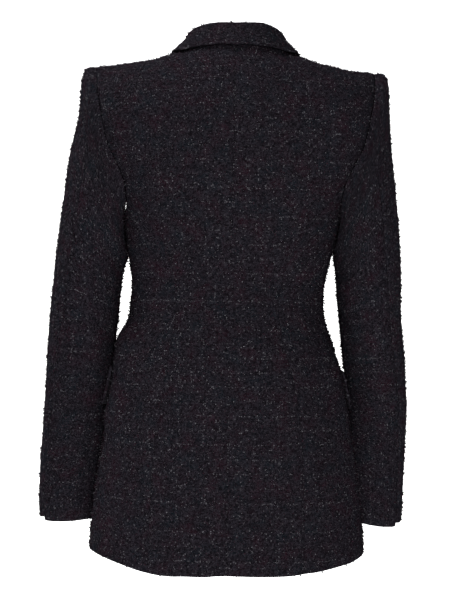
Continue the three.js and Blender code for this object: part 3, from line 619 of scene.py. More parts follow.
def wobble(points, normals, side, amount=1.0):
    flat = mirrored(points, side).reshape(-1, 3)
    scales = bodyCut["uneven"]
    height = np.array([sum(noise.noise(Vector(p) * s) * a for s, a in scales) for p in flat.tolist()])
    return points + normals * (height * amount).reshape(points.shape[:2])[..., None]


def gridMesh(name, points, faces, uv, materialOf, materials, smooth):
    mesh = bpy.data.meshes.new(name)
    mesh.vertices.add(len(points))
    mesh.vertices.foreach_set("co", (points * mm).ravel())
    mesh.loops.add(faces.size)
    mesh.loops.foreach_set("vertex_index", faces.ravel().astype(np.int32))
    mesh.polygons.add(len(faces))
    mesh.polygons.foreach_set("loop_start", np.arange(0, faces.size, 4, dtype=np.int32))
    mesh.update(calc_edges=True)
    mesh.uv_layers.new(name="UVMap").data.foreach_set("uv", (uv * mm)[faces.ravel()].ravel())
    for material in materials:
        mesh.materials.append(material)
    mesh.polygons.foreach_set("material_index", materialOf.astype(np.int32))
    mesh.polygons.foreach_set("use_smooth", smooth)
    mesh.validate()
    made = bpy.data.objects.new(name, mesh)
    bpy.context.scene.collection.objects.link(made)
    return made


def gridFaces(rows, cols, offset=0):
    start = (np.arange(rows - 1)[:, None] * cols + np.arange(cols - 1)[None]).ravel() + offset
    return np.stack([start, start + 1, start + cols + 1, start + cols], -1)


# where each kind of piece starts on the weave, in millimetres, so that no two show the same stretch of it
weaveStart = {
    "back": 0, "side": 700, "front": 1300, "sleeveUnder": 1900, "sleeveUpper": 2500, "collar": 3100,
    "lapel": 3700, "flap": 4300,
}
# the edges of a grid of points, and how each is finished
bodyEdges = {"start": "hem", "first": "seam", "last": "seam", "end": "seam"}
turnedEdges = {"start": "turned", "end": "turned", "first": "seam", "last": "turned"}
sheets = []


def weaveMap(kind, side, over, up):
    over, up = np.broadcast_arrays(side * (over + weaveStart[kind]), up)
    return np.stack([over, up], -1)


def shell(name, points, normals, uv, side, edges, thick=bodyCut["cloth"], amount=1.0, held="hung"):
    # a panel of cloth with its reverse, pressed in at its seams and rounded at its turned edges
    points = wobble(points, normals, side, amount)
    across, along = lengthsAlong(points, 1), lengthsAlong(points, 0)
    away = {
        "first": across, "last": across[:, -1:] - across, "start": along, "end": along[-1:] - along,
    }
    outer = np.zeros(points.shape[:2])
    inner = np.full(points.shape[:2], -float(thick))
    for edge, kind in edges.items():
        distance = away[edge]
        if kind in bodyCut["press"]:
            deep, wide = bodyCut["press"][kind]
            outer -= deep * np.exp(-((distance / wide) ** 2))
            continue
        radius = thick / 2
        bend = 1 - np.sqrt(1 - np.clip(1 - distance / radius, 0, 1) ** 2)
        pinch = bodyCut["edgeRound"] * radius * bend
        outer -= pinch
        inner += pinch
        if kind == "hem":
            turning = bodyCut["turning"]
            outer += turning["out"] * (1 - ease(*turning["outEnd"], distance))
            inner -= turning["in"] * (1 - ease(*turning["inEnd"], distance))
    rows, cols = points.shape[:2]
    count = rows * cols
    outside, inside = (
        mirrored(points + normals * layer[..., None], side).reshape(-1, 3) for layer in (outer, inner)
    )
    front = gridFaces(rows, cols)
    corner = outside[front]
    faceNormals = np.cross(corner[:, 1] - corner[:, 0], corner[:, 3] - corner[:, 0])
    outwards = (faceNormals * mirrored(normals, side).reshape(-1, 3)[front[:, 0]]).sum() > 0
    loop = np.concatenate([
        np.arange(cols), np.arange(1, rows) * cols + cols - 1,
        (rows - 1) * cols + np.arange(cols - 2, -1, -1), np.arange(rows - 2, 0, -1) * cols,
    ])
    following = np.roll(loop, -1)
    rim = np.stack([following, loop, loop + count, following + count], -1)
    faces = np.concatenate([front, gridFaces(rows, cols, count)[:, ::-1], rim])
    if not outwards:
        front, faces = front[:, ::-1], faces[:, ::-1]
    materialOf = np.concatenate([np.zeros(len(front)), np.ones(len(front)), np.zeros(len(rim))])
    # a sewn edge stays square and a turned one round
    around = (("start", cols), ("last", rows), ("end", cols), ("first", rows))
    sewn = [edges[edge] in bodyCut["press"] for edge, many in around for _ in range(many - 1)]
    smooth = np.concatenate([np.ones(len(front) * 2, bool), ~np.array(sewn)])
    flatUv = uv.reshape(-1, 2)
    made = gridMesh(name, np.concatenate([outside, inside]), faces, np.concatenate([flatUv, flatUv]),
                    materialOf, [tweed, tweedReverse], smooth)
    bare = gridMesh(name + "_boucle", outside, front, flatUv, np.zeros(len(front)), [yarn],
                    smooth[:len(front)])
    middle = points - normals * thick / 2
    a, b = np.diff(middle, axis=1)[:-1], np.diff(middle, axis=0)[:, :-1]
    sheets.append({
        "piece": made,
        "outside": bare,
        "held": held,
        "area": np.linalg.norm(np.cross(a, b), axis=-1).sum() * mm * mm,
        "flat": (lengthsAlong(middle, 1)[:, -1].max() * mm, lengthsAlong(middle, 0)[-1].max() * mm),
    })


def makeNode(tree, kind, inputs=None, **settings):
    made = tree.nodes.new(kind)
    for key, value in settings.items():
        setattr(made, key, value)
    for key, value in (inputs or {}).items():
        if isinstance(value, bpy.types.NodeSocket):
            tree.links.new(value, made.inputs[key])
        else:
            made.inputs[key].default_value = value
    return made


def calculate(tree, operation, *values):
    return makeNode(tree, "ShaderNodeMath", dict(enumerate(values)), operation=operation).outputs[0]


def moved(tree, operation, *values):
    return makeNode(tree, "ShaderNodeVectorMath", dict(enumerate(values)), operation=operation).outputs[0]


def blended(tree, share, a, b, how="MIX"):
    return makeNode(
        tree, "ShaderNodeMix", {0: share, 6: a, 7: b}, data_type="RGBA", blend_type=how
    ).outputs[2]


def ranged(tree, value, low, high, top=1.0):
    # from 0 at low to the top at high
    return makeNode(tree, "ShaderNodeMapRange", {0: value, 1: low, 2: high, 4: top}).outputs[0]


def spaced(tree, coordinate, spacing, width):
    # 1 on a line every so many millimetres, falling off to 0 at its edges
    off = calculate(tree, "PINGPONG", coordinate, spacing / 2)
    return makeNode(tree, "ShaderNodeMapRange", {
        0: off, 1: 0.0, 2: width, 3: 1.0, 4: 0.0,
    }, interpolation_type="SMOOTHSTEP").outputs[0]


def newGroup(name, inputs, outputs, kind="ShaderNodeTree"):
    group = bpy.data.node_groups.new(name, kind)
    for label, socketKind, value in inputs:
        socket = group.interface.new_socket(label, in_out="INPUT", socket_type=socketKind)
        if value is not None:
            socket.default_value = value
    for label, socketKind in outputs:
        group.interface.new_socket(label, in_out="OUTPUT", socket_type=socketKind)
    return group, group.nodes.new("NodeGroupInput"), group.nodes.new("NodeGroupOutput")


def newMaterial(name):
    material = bpy.data.materials.new(name)
    material.use_nodes = True
    material.node_tree.nodes.clear()
    return material, material.node_tree


def addShader(tree, inputs):
    shader = makeNode(tree, "ShaderNodeBsdfPrincipled", inputs)
    tree.links.new(shader.outputs[0], makeNode(tree, "ShaderNodeOutputMaterial").inputs[0])


print("materials")
# the weave works in millimetres on a piece's own UV map
tweedLook = {
    "dark": (0.0018, 0.0015, 0.0020, 1),
    "middle": (0.0050, 0.0042, 0.0056, 1),
    "pale": (0.0100, 0.0090, 0.0112, 1),
    "silver": (0.0400, 0.0392, 0.0430, 1),
    "burgundy": (0.0095, 0.0020, 0.0042, 1),
    "teal": (0.0015, 0.0045, 0.0060, 1),
    "nub": 1.7,            # millimetres across one loop of yarn
    "nubTone": 0.62,       # how much a loop's own shade tells, and how much a slub does
    "slubTone": 0.42,
    "tones": (0.16, 0.56, 0.96),       # where dark, middle and pale stand
    "wander": (0.11, 3.2),             # scale, and millimetres that the yarns stray
    "slubs": ((0.62, 0.15, 1), (0.13, 0.66, 1)),  # scale along each set of yarns
    "slubRange": (0.46, 0.74),
    "patchScale": 0.035,
    "patches": (("burgundy", 0.52, 0.68), ("teal", 0.48, 0.34)),
    "patchShare": 0.35,
    "fleck": 2.1,          # between places where a bright one may be
    "fleckShare": 0.028,   # of them bright in the ground
    "lineShare": 0.34,     # and more on the check's lines
    "fleckRange": (0.5, 0.18),         # from its edge to its middle
    "fleckTone": (0.75, 0.25),         # spread and least brightness
    # the check, with every second line fainter: axis, millimetres between, half width, strength
    "lines": ((1, 38.0, 1.5, 1.0), (1, 19.0, 1.3, 0.62), (0, 34.0, 1.4, 0.8), (0, 17.0, 1.2, 0.4)),
    "slubHeight": 0.6,
    "gloss": (-0.45, 0.92),            # roughness falls by the first on a fleck
    "bump": 0.9,
    "sheenRoughness": 0.55,
    "sheenTint": (0.62, 0.60, 0.68, 1),
    # height of the bumps in metres, sheen, and the weave's values where they differ
    "outside": (0.0006, 0.0, {}),
    "reverse": (0.0003, 0.01, {"Nub": 1.2, "Fleck Share": 0.02, "Line Share": 0.1}),
}


def weaveGroup():
    group, given, result = newGroup(
        "boucleWeave",
        [
            ("Vector", "NodeSocketVector", None),
            ("Nub", "NodeSocketFloat", tweedLook["nub"]),
            ("Fleck", "NodeSocketFloat", tweedLook["fleck"]),
            ("Fleck Share", "NodeSocketFloat", tweedLook["fleckShare"]),
            ("Line Share", "NodeSocketFloat", tweedLook["lineShare"]),
        ],
        [("Color", "NodeSocketColor"), ("Height", "NodeSocketFloat"), ("Roughness", "NodeSocketFloat")],
    )
    wanderScale, stray = tweedLook["wander"]
    place = moved(group, "SCALE", given.outputs["Vector"])
    place.node.inputs["Scale"].default_value = 1 / mm
    drift = makeNode(group, "ShaderNodeTexNoise", {"Vector": place, "Scale": wanderScale, "Detail": 1.0})
    drift = moved(group, "SUBTRACT", drift.outputs["Color"], (0.5, 0.5, 0.5))
    drift = moved(group, "MULTIPLY", drift, (stray, stray, 0.0))
    place = moved(group, "ADD", place, drift)
    axes = makeNode(group, "ShaderNodeSeparateXYZ", {0: place})

    # yarn loops, each with its own shade, and slubs that run along both sets of yarns
    nubScale = calculate(group, "DIVIDE", 1.0, given.outputs["Nub"])
    nubs = makeNode(
        group, "ShaderNodeTexVoronoi", {"Vector": place, "Scale": nubScale}, voronoi_dimensions="2D"
    )
    shade = makeNode(group, "ShaderNodeSeparateColor", {0: nubs.outputs["Color"]})
    slubs = calculate(group, "MAXIMUM", *(
        makeNode(
            group, "ShaderNodeTexNoise", {"Vector": moved(group, "MULTIPLY", place, stretch), "Scale": 1.0}
        ).outputs[0]
        for stretch in tweedLook["slubs"]
    ))
    slubs = ranged(group, slubs, *tweedLook["slubRange"])
    tone = calculate(group, "MULTIPLY", slubs, tweedLook["slubTone"])
    tone = calculate(group, "MULTIPLY_ADD", shade.outputs[0], tweedLook["nubTone"], tone)
    ramp = makeNode(group, "ShaderNodeValToRGB", {0: tone})
    low, middle, high = tweedLook["tones"]
    ramp.color_ramp.elements[0].position = low
    ramp.color_ramp.elements[0].color = tweedLook["dark"]
    ramp.color_ramp.elements[1].position = high
    ramp.color_ramp.elements[1].color = tweedLook["pale"]
    ramp.color_ramp.elements.new(middle).color = tweedLook["middle"]
    color = ramp.outputs[0]

    # burgundy and teal yarns come and go in patches
    patches = makeNode(
        group, "ShaderNodeTexNoise", {"Vector": place, "Scale": tweedLook["patchScale"], "Detail": 2.0}
    )
    for name, start, full in tweedLook["patches"]:
        zone = ranged(group, patches.outputs[0], start, full, tweedLook["patchShare"])
        zone = calculate(group, "MULTIPLY", zone, shade.outputs[1])
        color = blended(group, zone, color, tweedLook[name])

    lines = 0.0
    for axis, every, width, strength in tweedLook["lines"]:
        line = spaced(group, axes.outputs[axis], every, width)
        lines = calculate(group, "MAXIMUM", lines, calculate(group, "MULTIPLY", line, strength))

    # bright flecks, few in the ground and many on the lines
    fleckScale = calculate(group, "DIVIDE", 1.0, given.outputs["Fleck"])
    flecks = makeNode(
        group, "ShaderNodeTexVoronoi", {"Vector": place, "Scale": fleckScale}, voronoi_dimensions="2D"
    )
    luck = makeNode(group, "ShaderNodeSeparateColor", {0: flecks.outputs["Color"]})
    share = calculate(
        group, "MULTIPLY_ADD", lines, given.outputs["Line Share"], given.outputs["Fleck Share"]
    )
    bright = calculate(
        group, "MULTIPLY", calculate(group, "LESS_THAN", luck.outputs[0], share),
        ranged(group, flecks.outputs["Distance"], *tweedLook["fleckRange"]),
    )
    fleckTone = calculate(group, "MULTIPLY_ADD", luck.outputs[1], *tweedLook["fleckTone"])
    bright = calculate(group, "MULTIPLY", bright, fleckTone)
    color = blended(group, bright, color, tweedLook["silver"])

    loopHeight = calculate(group, "SUBTRACT", 1.0, nubs.outputs["Distance"])
    height = calculate(group, "MULTIPLY_ADD", slubs, tweedLook["slubHeight"], loopHeight)
    roughness = calculate(group, "MULTIPLY_ADD", bright, *tweedLook["gloss"])
    for label, socket in (("Color", color), ("Height", height), ("Roughness", roughness)):
        group.links.new(socket, result.inputs[label])
    return group


weave = weaveGroup()


def clothMaterial(name, bumpDistance, sheen, values):
    material, tree = newMaterial(name)
    uvMap = makeNode(tree, "ShaderNodeUVMap", uv_map="UVMap")
    cloth = makeNode(tree, "ShaderNodeGroup", node_tree=weave)
    tree.links.new(uvMap.outputs[0], cloth.inputs["Vector"])
    for key, value in values.items():
        cloth.inputs[key].default_value = value
    bump = makeNode(tree, "ShaderNodeBump", {
        "Height": cloth.outputs["Height"], "Strength": tweedLook["bump"], "Distance": bumpDistance,
    })
    addShader(tree, {
        "Base Color": cloth.outputs["Color"],
        "Roughness": cloth.outputs["Roughness"],
        "Normal": bump.outputs[0],
        "Specular IOR Level": 0.0,
        "Sheen Weight": sheen,
        "Sheen Roughness": tweedLook["sheenRoughness"],
        "Sheen Tint": tweedLook["sheenTint"],
    })
    return material


tweed = clothMaterial("tweed", *tweedLook["outside"])
tweedReverse = clothMaterial("tweedReverse", *tweedLook["reverse"])

# loose loops of yarn, each one all black, grey, silver or burgundy
yarnLook = {
    "density": 36500.0,    # loops in a square metre
    "loop": 2.3,           # millimetres from foot to foot
    "yarn": 0.46,          # its radius
    "rise": 1.2,
    "peak": 1.6,           # of the rise, for the curve's middle handle
    "sunk": 0.9,           # of the radius, at both feet
    "tilt": 0.5,           # radians, the most either way
    "widths": (0.75, 1.1),  # from small to large loops
    "heights": (0.5, 3.0),  # from low to standing ones
    "rarity": 1.9,         # the higher, the fewer stand out
    "clothShare": 0.95,    # how far a loop is shaded as its cloth faces
    "segments": (2, 3),    # along a loop and round its yarn
    "ply": (700.0, 0.9),   # scale and strength of the shades along one loop
    "twist": (1600.0, 0.5, 0.0003),    # scale, strength and height of its bumps
    "roughness": 0.85,
    "colors": [
        (0.0, (0.0018, 0.0015, 0.0020, 1)),
        (0.36, (0.0042, 0.0036, 0.0048, 1)),
        (0.66, (0.0075, 0.0066, 0.0084, 1)),
        (0.82, (0.0095, 0.0024, 0.0048, 1)),
        (0.9, (0.0100, 0.0092, 0.0110, 1)),
        (1.0, (0.0280, 0.0270, 0.0300, 1)),
    ],
}


def yarnMaterial():
    material, tree = newMaterial("boucleYarn")
    plyScale, plyShare = yarnLook["ply"]
    twistScale, twistStrength, twistHeight = yarnLook["twist"]
    chance = makeNode(tree, "ShaderNodeAttribute", attribute_name="yarnShade")
    place = makeNode(tree, "ShaderNodeTexCoord").outputs["Object"]
    plies = makeNode(tree, "ShaderNodeTexNoise", {"Vector": place, "Scale": plyScale})
    tone = calculate(tree, "MULTIPLY_ADD", plies.outputs[0], plyShare, -plyShare / 2)
    tone = calculate(tree, "ADD", chance.outputs["Fac"], tone)
    ramp = makeNode(tree, "ShaderNodeValToRGB", {0: tone})
    first, *between, last = yarnLook["colors"]
    ramp.color_ramp.elements[0].color = first[1]
    ramp.color_ramp.elements[1].color = last[1]
    for position, shade in between:
        ramp.color_ramp.elements.new(position).color = shade
    twist = makeNode(tree, "ShaderNodeTexNoise", {"Vector": place, "Scale": twistScale})
    clothFacing = makeNode(tree, "ShaderNodeAttribute", attribute_name="clothNormal")
    loopFacing = makeNode(tree, "ShaderNodeNewGeometry")
    facing = makeNode(tree, "ShaderNodeMix", {
        "Factor": yarnLook["clothShare"], 4: loopFacing.outputs["Normal"], 5: clothFacing.outputs["Vector"],
    }, data_type="VECTOR")
    bump = makeNode(tree, "ShaderNodeBump", {
        "Height": twist.outputs[0], "Strength": twistStrength, "Distance": twistHeight,
        "Normal": moved(tree, "NORMALIZE", facing.outputs[1]),
    })
    addShader(tree, {
        "Base Color": ramp.outputs[0],
        "Normal": bump.outputs[0],
        "Roughness": yarnLook["roughness"],
        "Specular IOR Level": 0.0,
    })
    return material


yarn = yarnMaterial()

print("body panels")


def fromGrain(points, grain):
    # millimetres across a panel from its straight grain, which lies a share of the way over
    reach = lengthsAlong(points, 1)
    return reach - reach[:, -1:] * grain


def heightMap(points):
    # the check's lines run level round the body and follow the cloth over the shoulders
    z = points[..., 2].copy()
    first = len(bodyHeights) - 1
    if len(points) > len(bodyHeights):
        z[first:] = z[first] + lengthsAlong(points[first:], 0)
    return z


loops = {}
for side, word in sides:
    points, normals = backSurface(side)
    uv = weaveMap("back", side, fromGrain(points, 0), heightMap(points))
    shell(f"clothBack_{word}", points, normals, uv, side, bodyEdges)
    sidePoints, sideNormals = sideSurface(side)
    uv = weaveMap("side", side, fromGrain(sidePoints, 0.5), sidePoints[..., 2])
    shell(f"clothSide_{word}", sidePoints, sideNormals, uv, side, bodyEdges)
    frontPoints, frontNormals = frontSurface(side)
    uv = weaveMap("front", side, fromGrain(frontPoints, 0), heightMap(frontPoints))
    shell(f"clothFront_{word}", frontPoints, frontNormals, uv, side, bodyEdges | {"first": "turned"})
    # the armhole's edge, from the top down the back and up the front
    above = armholeRow + 1
    loops[side] = [
        np.concatenate([back[above:, -1][::-1], bottom[-1], front[above:-1, -1]])
        for back, bottom, front in ((points, sidePoints, frontPoints), (normals, sideNormals, frontNormals))
    ]

print("sleeves")
for side, word in sides:
    grid, outward, backColumn, frontColumn = sleeveSurface(side, *loops[side])
    for part, start, end, slitAtFirst in (
        ("Under", backColumn, frontColumn, True),
        ("Upper", frontColumn, sleeveCut["columns"] + backColumn, False),
    ):
        points, normals = sleeveHalf(grid, outward, start, end, slitAtFirst)
        down = lengthsAlong(points, 0).mean(1)
        uv = weaveMap("sleeve" + part, side, fromGrain(points, 0.5), -down[:, None])
        shell(f"clothSleeve{part}_{word}", points, normals, uv, side,
              bodyEdges | {"start": "armhole", "end": "hem"})

print("collar and lapels")
# from the centre back to the notch: station, neck seam x y z, turned edge x y z, outer edge x, arc, lift
collarStations = np.array([
    (0, 0, 54.6, 10.8, 0, 47.5, 39.5, 0, 0.465, 5),
    (1, 17, 53.2, 10.8, 17, 46.6, 39.8, 22, 0.438, 5),
    (2, 33, 48.2, 10.4, 33, 42.6, 39.2, 43, 0.379, 4.8),
    (3, 47, 40.2, 9.8, 46, 35, 37, 60, 0.296, 4.4),
    (4, 58, 30, 9, 55, 25, 34.6, 73, 0.21, 4),
    (5, 66, 17.5, 8, 61.5, 13, 31, 82, 0.125, 3.8),
    (6, 70.5, 5, 7.6, 65, 0, 26.5, 87.5, 0.015, 3.6),
    (7, 70.2, -8, 5.6, 66.5, -14, 20, 91, -0.1, 3.6),
    (8, 67.5, -22, 1, 65.2, -30, 11, 94.5, -0.219, 3.5),
    (9, 64.3, -38, -7.5, 62, -46.6, -0.6, 98, -0.345, 3.4),
    (10, 60.7, -54, -20, 58, -63, -15.6, 102, -0.465, 3.4),
    (11, 57.3, -68.5, -34, 54, -78, -31.6, 106, -0.593, 3.4),
    (12, 56.3, -74.5, -41, 52.5, -84, -40.2, 88, -0.723, 3.6),
])
# share of the lapel's height, outer edge x z
lapelEdge = np.array([
    (0, -17, -294), (0.2, 15, -258), (0.4, 50, -216), (0.6, 83, -168), (0.8, 108, -121), (1, 127, -80),
])
turnedCut = {
    "rollRadius": 2.6,
    "turnSteps": 9,
    "standSteps": 8,
    "tuck": (7, 2.6),       # how far the collar goes on inside the neck, and how far it stands in there
    "tuckSteps": 4,
    "rightRise": 1.8,       # the collar stands higher on the wearer's right
    "riseAt": (-42, 20),    # there: distance out, width
    "riseHeights": (15, 36),
    "stepsAlong": 6,        # between collar stations
    "fall": 20,             # rows down a fall or across a lapel
    "collarFall": 0.16,     # share of the way down at which the fall begins
    "collarRows": 34,
    "smoothing": 2,
    "outerRows": 8,         # the last ones, along which the collar's length is measured
    "lapelFall": 0.06,
    "lapelStart": 8,        # above the break
    "lapelTop": -43.8,
    "lapelRows": 60,
    "lapelColumns": 28,
    "seamIn": (1.3, 1.5),   # a lapel's seam and roll inside the front's edge
    "proud": (2.7, 1.5),    # how far a lapel stands off the front, at its roll and at its edge
    "uneven": {"collar": 0.6, "lapel": 0.5},
}


def shoulderArcPoint(x, arc):
    turn = np.abs(arc) * pi / 2
    power = 2 / bodyCut["shoulderRound"]
    z = mix(bodyCut["shoulderBase"], read(shoulderLine, 1, np.abs(x)), np.cos(turn) ** power)
    return np.stack([x, np.sign(arc) * sectionDepth(x, z, np.sign(arc)) * np.sin(turn) ** power, z], -1)


def turnedLine(seam, roll, leg, tuck=(0, 0)):
    # a short leg up from the seam, the turn, and a leg that lies back to the outer edge
    edge = leg[-1]
    radius = turnedCut["rollRadius"]
    tip = unit(roll - (seam + edge) / 2)
    out = edge - seam
    out = unit(out - tip * (out @ tip))
    centre = roll - tip * radius
    angles = np.linspace(pi, 0, turnedCut["turnSteps"])[:, None]
    turn = centre + radius * (out * np.cos(angles) + tip * np.sin(angles))
    stand = mix(seam, turn[0], np.linspace(0, 1, turnedCut["standSteps"])[:-1, None])
    hidden = seam - (tip * tuck[0] + out * tuck[1]) * np.linspace(1, 0, turnedCut["tuckSteps"])[:-1, None]
    line = np.concatenate([hidden, stand, turn, leg] if tuck[0] else [stand, turn, leg])
    before = np.concatenate([line[:1], line[:-1]])
    after = np.concatenate([line[1:], line[-1:]])
    normals = unit(np.cross(after - before, np.cross(tip, out)))
    return line + normals * bodyCut["cloth"] / 2, normals


def finer(points, normals, wanted):
    # rows resampled by their length, close together near both edges
    reach = lengthsAlong(points)
    at = spread(reach[-1], wanted)
    pick = lambda values: np.stack([np.interp(at, reach, values[:, a]) for a in range(3)], -1)
    return pick(points), unit(pick(normals))


lastStation = len(collarStations) - 1
stations = np.linspace(0, lastStation, lastStation * turnedCut["stepsAlong"] + 1)
columns = [read(collarStations, c, stations) for c in range(1, 10)]
seamLine, rollLine = (np.stack(columns[i:i + 3], -1) for i in (0, 3))
outerX, arc, lifts = columns[6:]
edgeLine = shoulderArcPoint(outerX, arc)
edgeLine = edgeLine + unit(fieldSlope(edgeLine)) * lifts[:, None]
shares = np.linspace(turnedCut["collarFall"], 1, turnedCut["fall"])[:, None]
profiles = []
for seam, roll, edge, lift in zip(seamLine, rollLine, edgeLine, lifts):
    leg = standClear(mix(roll, edge, shares), lift)
    for _ in range(turnedCut["smoothing"]):
        leg[1:-1] = (leg[:-2] + 2 * leg[1:-1] + leg[2:]) / 4
    profiles.append(finer(*turnedLine(seam, roll, leg, turnedCut["tuck"]), turnedCut["collarRows"]))
flip = np.array([-1, 1, 1])
halfPoints, halfNormals = (np.stack([profile[i] for profile in profiles]) for i in (0, 1))
points = np.concatenate([halfPoints[:0:-1] * flip, halfPoints])
normals = np.concatenate([halfNormals[:0:-1] * flip, halfNormals])
riseX, riseWidth = turnedCut["riseAt"]
rightRise = np.exp(-(((points[..., 0] - riseX) / riseWidth) ** 2))
rightRise = rightRise * ease(*turnedCut["riseHeights"], points[..., 2])
points[..., 2] += turnedCut["rightRise"] * rightRise
around = lengthsAlong(points[:, -turnedCut["outerRows"]:].mean(1))
uv = weaveMap("collar", 1, (around - around[-1] / 2)[:, None], lengthsAlong(points, 1))
shell("clothCollar", points, normals, uv, 1, turnedEdges,
      amount=turnedCut["uneven"]["collar"], held="folded")

for side, word in sides:
    under = side == left
    start = bodyCut["breakHeight"] + turnedCut["lapelStart"]
    heights = np.linspace(start, turnedCut["lapelTop"], turnedCut["lapelRows"])
    share = (heights - heights[0]) / (heights[-1] - heights[0])
    edgeX, edgeZ = read(lapelEdge, 1, share), read(lapelEdge, 2, share)
    half, radius = bodyCut["cloth"] / 2, turnedCut["rollRadius"]
    inner = frontEdge(heights)
    seamX, rollX = (inner - far for far in turnedCut["seamIn"])
    seams = clothPoint(surfacePoint(seamX, heights, -1), side, -half, under)[0]
    rolls = clothPoint(surfacePoint(rollX - radius, heights, -1), side, radius - half, under)[0]
    shares = np.linspace(turnedCut["lapelFall"], 1, turnedCut["fall"])
    x = mix(inner[:, None], edgeX[:, None], shares)
    z = mix(heights[:, None], edgeZ[:, None], shares)
    legs = clothPoint(surfacePoint(x, z, -1), side, mix(*turnedCut["proud"], shares) + half, under)[0]
    rows = [finer(*turnedLine(*line), turnedCut["lapelColumns"]) for line in zip(seams, rolls, legs)]
    points, normals = (np.stack([row[i] for row in rows]) for i in (0, 1))
    uv = weaveMap("lapel", side, lengthsAlong(points, 1), points[..., 2])
    shell(f"clothLapel_{word}", points, normals, uv, side, turnedEdges,
          amount=turnedCut["uneven"]["lapel"], held="folded")

print("pocket flaps")
flapCut = {
    "top": -436,
    "bottom": -490,
    "frontX": 84,
    "backY": {left: 30, right: 14},
    "stand": 0.5,
    "kick": 4.5,           # how far its lower edge stands out further
    "thick": 3.6,
    "corner": 7,
    "cornerHeight": 20,
    "rows": 14,
    "columns": 40,
    "uneven": 0.4,
}
for side, word in sides:
    rise = spread(flapCut["top"] - flapCut["bottom"], flapCut["rows"])
    rows = []
    for up in rise:
        z = flapCut["bottom"] + up
        power = squareness(z)
        backX = halfWidth(z) * (1 - (flapCut["backY"][side] / halfDepth(z, True)) ** power) ** (1 / power)
        start, end = ringAngle(flapCut["frontX"], z, -1), ringAngle(backX, z, 1)
        angles = rowAngles(start, end, z, flapCut["columns"])
        reach = lengthsAlong(ringPoint(angles, z))
        corner = flapCut["corner"]
        toEnd = np.minimum(reach, reach[-1] - reach)
        bend = corner - np.sqrt(np.maximum(0, corner**2 - np.maximum(0, corner - toEnd) ** 2))
        low = np.clip(1 - up / flapCut["cornerHeight"], 0, 1)
        rows.append(ringPoint(angles, z + bend * low))
    points = np.stack(rows)
    lift = flapCut["stand"] + flapCut["thick"] + flapCut["kick"] * (1 - rise / rise[-1])
    points, normals = clothPoint(points, side, np.broadcast_to(lift[:, None], points.shape[:2]))
    uv = weaveMap("flap", side, fromGrain(points, 0), points[..., 2])
    shell(f"clothFlap_{word}", points, normals, uv, side, turnedEdges | {"end": "seam", "first": "turned"},
          thick=flapCut["thick"], amount=flapCut["uneven"], held="folded")

print("loops of yarn")


loopInputs = [
    ("Density", "NodeSocketFloat", yarnLook["density"]),
    ("Loop", "NodeSocketFloat", yarnLook["loop"] * mm),
    ("Rise", "NodeSocketFloat", yarnLook["rise"] * mm),
    ("Yarn", "NodeSocketFloat", yarnLook["yarn"] * mm),
    ("Material", "NodeSocketMaterial", yarn),
]


